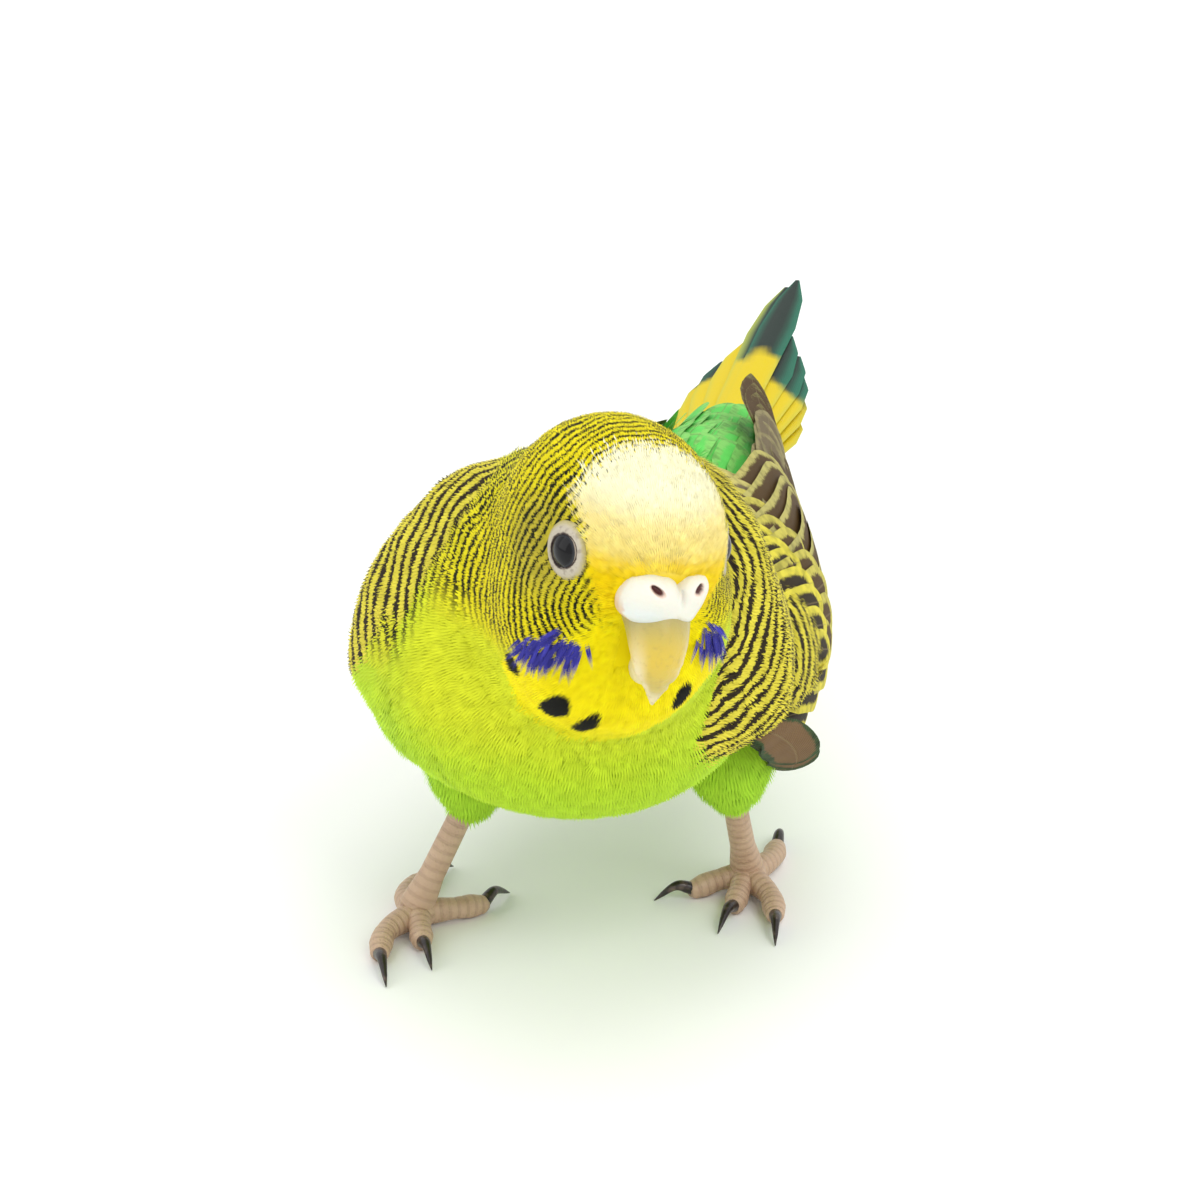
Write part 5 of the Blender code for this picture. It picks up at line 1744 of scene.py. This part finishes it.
    def build_claw(self, number: int, toe: tuple, path: np.ndarray) -> None:
        """A curved, tapering claw that rises from the toe's end and comes down to its tip.

        Args:
            number: Its place in the foot.
            toe: Bend, end and claw tip of its toe, in millimetres.
            path: Its toe's middle line.
        """
        along = unit(path[-1] - path[-3])
        tip = np.array((*toe[2], 0.2))
        start = path[-1] - along * 0.5 + np.array([0, 0, 0.15])
        crest = start + (tip - start) * 0.45 + np.array([0, 0, 0.95])
        line = curve_through([start, crest, tip], 26)
        radii = self.claw_radius * np.interp(
            np.linspace(0, 1, 26), [0, 0.2, 0.4, 0.6, 0.8, 1.0], [1.0, 0.92, 0.8, 0.6, 0.4, 0.08])
        piece = loft(f"claw_horn_{number}_{self.label}", line, radii, 18, flat=0.02)
        paint = Paint(f"claw_{number}_{self.label}", 0.3)
        tint = paint.mix(linear(38, 30, 28), linear(104, 88, 78), paint.grain(900.0).step(0.5, 0.8))
        paint.feed(Base_Color=tint)
        paint.bump(paint.grain(2600.0), 0.00005)
        piece.build(paint.material, "claw_dark", f"claw_{number}_{self.label}")


# The whole bird


@dataclass
class Coat:
    """All patches of small feathers on the skin, with their shared material."""

    wings: tuple

    def material(self, name: str, roughness: float = 0.62,
                 dark_tint: tuple = PLUMAGE.bar_dark) -> bpy.types.Material:
        """Plumage: the mesh's own colour, crossed by dark bars where the coat has them.

        Args:
            name: The material's name.
            roughness: Even roughness.
            dark_tint: Display colour of the bars.

        Returns:
            The material.
        """
        paint = Paint(name, roughness)
        lens = (paint.grain(300.0, 2.0) - 0.5) * 0.9
        dark = 1.0 - (paint.value("bar_phase").wave() + lens).step(0.25, 0.46)
        tint = paint.mix(paint.colour("Coat"), linear(*dark_tint), dark * paint.value("bar_strength"))
        tint = paint.mix(tint, paint.colour("Mask"), paint.value("mask_reach").step(-0.35, 0.35))
        spot = 1.0 - paint.value("spot_reach").step(-0.15, 0.15)
        tint = paint.mix(tint, linear(*PLUMAGE.spot_black), spot)
        paint.feed(Base_Color=tint, Specular_IOR_Level=0.12)
        return paint.material

    def bare(self, places: np.ndarray) -> np.ndarray:
        """True where small feathers grow: not on the eyes' rings, nor under the cere and the bill.

        Args:
            places: Roots of the feathers.

        Returns:
            One answer for each place.
        """
        free = np.ones(places.shape[:-1], bool)
        for side in Side:
            eye = Eye(side)
            away = places - eye.centre
            height = away @ eye.axis
            spread = np.linalg.norm(away - height[..., None] * eye.axis, axis=-1)
            free &= ~((spread < 2.6) & (height > 0.0))
        local = HEAD.local(places)
        cere = ((local[..., 1] + 0.3) / 4.1) ** 2 + ((local[..., 2] + 0.7) / 2.3) ** 2 < 1.0
        bill = (np.abs(local[..., 1]) < 2.9) & (local[..., 2] < -1.5) & (local[..., 2] > -8.5)
        return free & ~((cere | bill) & (local[..., 0] > 6.5))

    def covered(self, places: np.ndarray) -> np.ndarray:
        """True well under a folded wing, where no small feather shows.

        Args:
            places: Roots of the feathers.

        Returns:
            One answer for each place.
        """
        hidden = np.zeros(places.shape[:-1], bool)
        for wing in self.wings:
            x = (places[..., 0] + 4.0) * wing.side.value
            z = places[..., 2] - 30.0
            angle = np.degrees(np.arctan2(x, z)) / wing.raise_share
            y = places[..., 1]
            hidden |= (angle > 34.0) & (angle < 92.0) & (y > -13.0) & (y < 34.0)
        return hidden

    def patches(self) -> list[CoatPatch]:
        """The regions, from the fine face outwards to the long coverts of the rump."""
        reach = PLUMAGE.face_reach

        def zone(low: float, high: float) -> Callable:
            """Places whose distance from the face lies between two limits."""
            return lambda p: self.bare(p) & ~self.covered(p) & (reach(p) >= low) & (reach(p) < high)

        def body(test: Callable) -> Callable:
            """Places beyond the head where a test of x, y and z holds."""
            return lambda p: (
                self.bare(p) & ~self.covered(p) & (reach(p) >= 25.0) & test(p[..., 0], p[..., 1], p[..., 2]))

        fine, middle = TuftShape(5, 20.0, 0.085), TuftShape(5, 22.0, 0.09)
        clear = self.bare

        def hunch(places: np.ndarray) -> np.ndarray:
            """Fluffed feathers between the head's back and the right shoulder: a bell 8 mm wide."""
            away = np.linalg.norm(places - np.array([-8.0, -6.0, 50.0]), axis=-1)
            return np.exp(-((away / 8.0) ** 2))

        return [
            CoatPatch("coat_face", 0.33, 1.5, 0.75, 0.36, fine, zone(0.0, 12.0), "barred_yellow",
                      clear=clear, seed=1),
            CoatPatch("coat_cheek", 0.36, 1.8, 0.9, 0.42, fine, zone(12.0, 18.0), "barred_yellow",
                      clear=clear, seed=2),
            CoatPatch("coat_crown", 0.40, 2.1, 1.0, 0.5, middle, zone(18.0, 25.0), "barred_yellow",
                      clear=clear, seed=3, swell=hunch),
            CoatPatch("coat_breast", 0.50, 3.2, 1.5, 0.75, BROAD_TUFT,
                      body(lambda x, y, z: (y < -8.0) & (z < 46.0)), "throat_yellow", seed=4),
            CoatPatch("coat_nape", 0.50, 2.9, 1.4, 0.7, BROAD_TUFT,
                      body(lambda x, y, z: (y < 20.0) & (z >= 33.0) & ~((y < -8.0) & (z < 46.0))),
                      "barred_yellow", seed=5, swell=hunch),
            CoatPatch("coat_belly", 0.62, 3.9, 1.9, 0.85, BROAD_TUFT,
                      body(lambda x, y, z: (y >= -8.0) & (y < 24.0) & (z < 33.0)), "grass_green", seed=6),
            CoatPatch("coat_rump", 0.70, 5.0, 2.3, 0.8, BROAD_TUFT,
                      body(lambda x, y, z: ((y >= 24.0) & (z < 33.0)) | ((y >= 20.0) & (z >= 33.0))),
                      "rump_green", seed=7),
        ]

    def cheek_patch(self, side: Side) -> CoatPatch:
        """The violet cheek feathers: long strokes rooted in a band round a line under the eye.

        Args:
            side: The cheek.

        Returns:
            The patch.
        """
        roots = PLUMAGE.cheek_roots_left if side is Side.LEFT else PLUMAGE.cheek_roots_right
        line = np.array([HEAD.point(*root) for root in curve_through(roots, 24)])

        def near(places: np.ndarray) -> np.ndarray:
            """Within about a millimetre of the line of roots, with a ragged edge."""
            away = np.linalg.norm(places[..., None, :] - line, axis=-1)
            return away.min(axis=-1) < 0.8 + 0.4 * np.sin(places[..., 0] * 2.9 + places[..., 2] * 3.7)

        return CoatPatch(
            f"coat_violet_{side.label}", 0.40, 3.6, 0.45, 0.85, TuftShape(5, 8.0, 0.10), near,
            "barred_yellow", lean=16.0, tint=PLUMAGE.cheek_violet, vary=0.22, seed=20 + side.value)

    def low_edge(self, wing: Wing, places: np.ndarray) -> np.ndarray:
        """Height under which the flank's green feathers lie over a shoulder: only the right one."""
        hidden = 40.0 - 8.0 * smooth(-places[..., 0], 17.0, 24.0) - 6.0 * smooth(places[..., 1], -14.0, -6.0)
        return hidden if wing.side is Side.RIGHT else np.zeros(places.shape[:-1])

    def cape_patch(self, wing: Wing) -> CoatPatch:
        """The small barred feathers over the front of a shoulder, further back on the right one.

        Args:
            wing: The folded wing behind it.

        Returns:
            The patch.
        """
        back = 6.0 if wing.side is Side.LEFT else 4.0

        def keep(places: np.ndarray) -> np.ndarray:
            """Above the flank's edge, and ahead of a wavy line that steps forward near the back."""
            _, y, z = np.moveaxis(places, -1, 0)
            line = back - 3.0 * smooth(z, 38.0, 44.0) - 0.8 * np.sin(1.3 * z)
            return self.bare(places) & (z > self.low_edge(wing, places)) & (y < line)

        return CoatPatch(
            f"coat_shoulder_{wing.side.label}", 0.55, 3.3, 1.8, 0.55, BROAD_TUFT, keep, "wing_brown",
            barred=True, tint=(228, 215, 70), seed=40 + wing.side.value)

    def build(self, surface: Surface) -> None:
        """Grow every patch."""
        finish = self.material("plumage")
        for patch in self.patches():
            patch.grow(surface, coat_lie, finish)
        for side in Side:
            self.cheek_patch(side).grow(
                surface, lambda p: np.broadcast_to(HEAD.axes[2] * -0.9 - HEAD.axes[0] * 0.4, p.shape), finish)
        brown = self.material("shoulder_plumage", 0.62, (50, 41, 27))
        for wing in self.wings:
            outer = np.array([0.75 * wing.side.value, 0.65, -0.45])
            cape = wing.cape()
            self.cape_patch(wing).grow(cape, lambda p: np.broadcast_to(outer, p.shape), brown)
            if wing.side is Side.RIGHT:
                side_coat = CoatPatch(
                    "coat_flank_right", 0.55, 3.4, 1.8, 0.6, BROAD_TUFT,
                    lambda p: (p[..., 1] < -9.0) & (p[..., 2] <= self.low_edge(wing, p)),
                    "grass_green", seed=60)
                side_coat.grow(cape, coat_lie, finish)


@dataclass
class Studio:
    """Pale floor, soft lights and the camera."""

    lens: float = 103.752
    eye: tuple = (84.3526, -323.9511, 165.0757)
    back: tuple = (0.24163, -0.90177, 0.35837)
    right: tuple = (0.96593, 0.25882, 0.0)
    up: tuple = (-0.09275, 0.34616, 0.93358)

    def camera(self) -> None:
        """A long lens that looks a little down on the bird from its left front."""
        data = bpy.data.cameras.new("camera")
        data.lens = self.lens
        data.sensor_width = 36.0
        data.clip_start = 0.01
        data.clip_end = 20.0
        shape = add_object("camera", data)
        axes = Matrix((self.right, self.up, self.back)).transposed().to_4x4()
        axes.translation = to_world(np.array(self.eye)).tolist()
        shape.matrix_world = axes
        bpy.context.scene.camera = shape

    def floor(self) -> None:
        """A wide pale floor, not attached to the bird."""
        mesh = bpy.data.meshes.new("floor")
        mesh.from_pydata([(-3, -3, 0), (3, -3, 0), (3, 3, 0), (-3, 3, 0)], [], [(0, 1, 2, 3)])
        paint = Paint("floor_white", 0.75)
        paint.feed(Base_Color=(0.93, 0.94, 0.92, 1.0), Specular_IOR_Level=0.1)
        mesh.materials.append(paint.material)
        add_object("floor", mesh)

    def light(self, name: str, place: tuple, aim: tuple, size: float, power: float) -> None:
        """One soft square light, aimed at a point.

        Args:
            name: Its name.
            place: Where it stands, in metres.
            aim: The point.
            size: Its edge in metres.
            power: Watts.
        """
        data = bpy.data.lights.new(name, "AREA")
        data.size = size
        data.energy = power
        shape = add_object(name, data)
        back = unit(np.array(place) - np.array(aim))
        right = unit(np.cross([0.0, 0.0, 1.0], back))
        axes = Matrix((right.tolist(), np.cross(back, right).tolist(), back.tolist())).transposed().to_4x4()
        axes.translation = place
        shape.matrix_world = axes

    def build(self) -> None:
        """Set floor, sky, three lights and the camera."""
        self.floor()
        world = bpy.data.worlds.new("studio")
        world.use_nodes = True
        world.node_tree.nodes["Background"].inputs["Color"].default_value = (1.0, 1.0, 1.0, 1.0)
        world.node_tree.nodes["Background"].inputs["Strength"].default_value = 0.92
        bpy.context.scene.world = world
        bpy.context.scene.view_settings.view_transform = "Standard"
        self.light("key", (0.55, -0.55, 0.75), (0.0, -0.06, 0.03), 0.5, 2.9)
        self.light("fill", (-0.8, -0.5, 0.5), (0.0, -0.06, 0.03), 0.8, 1.6)
        self.light("top", (0.0, 0.2, 0.9), (0.0, 0.0, 0.03), 0.7, 2.2)
        self.camera()


def main() -> None:
    """Build the bird part by part, then the studio."""
    logging.basicConfig(level=logging.INFO, format="%(message)s")
    skin = Skin()
    surface = skin.sample()
    wings = (
        Wing(Side.LEFT),
        Wing(Side.RIGHT, raise_share=0.935, crest=1.0, primary_tips=((67.0, 88.0), (44.0, 90.0)), guide=(
            (-24.0, -4.0, 31.0, 13.0, 11.0), (0.0, -4.0, 29.5, 19.5, 15.0), (20.0, -4.0, 28.5, 18.5, 15.0),
            (40.0, -4.0, 29.5, 14.5, 11.0), (60.0, -5.0, 30.0, 9.5, 6.0), (80.0, -7.0, 28.5, 7.0, 4.5))),
    )
    coat = Coat(wings)
    under = coat.material("skin_under", 0.8)
    skin.build(under)
    coat.build(surface)
    for wing in wings:
        wing.build()
    tail = Tail()
    tail.build()
    tail.coverts()
    for side in Side:
        eye = Eye(side)
        eye.build_ball()
        eye.build_ring()
    Cere().build()
    bill = Bill()
    bill.upper()
    bill.lower()
    thigh_coat = coat.material("thigh_plumage")
    for plan in LEG_PLANS:
        leg = Leg(plan)
        leg.build_thigh(under, thigh_coat)
        leg.build_foot(leg.skin_paint())
    Studio().build()


if __name__ == "__main__":
    main()
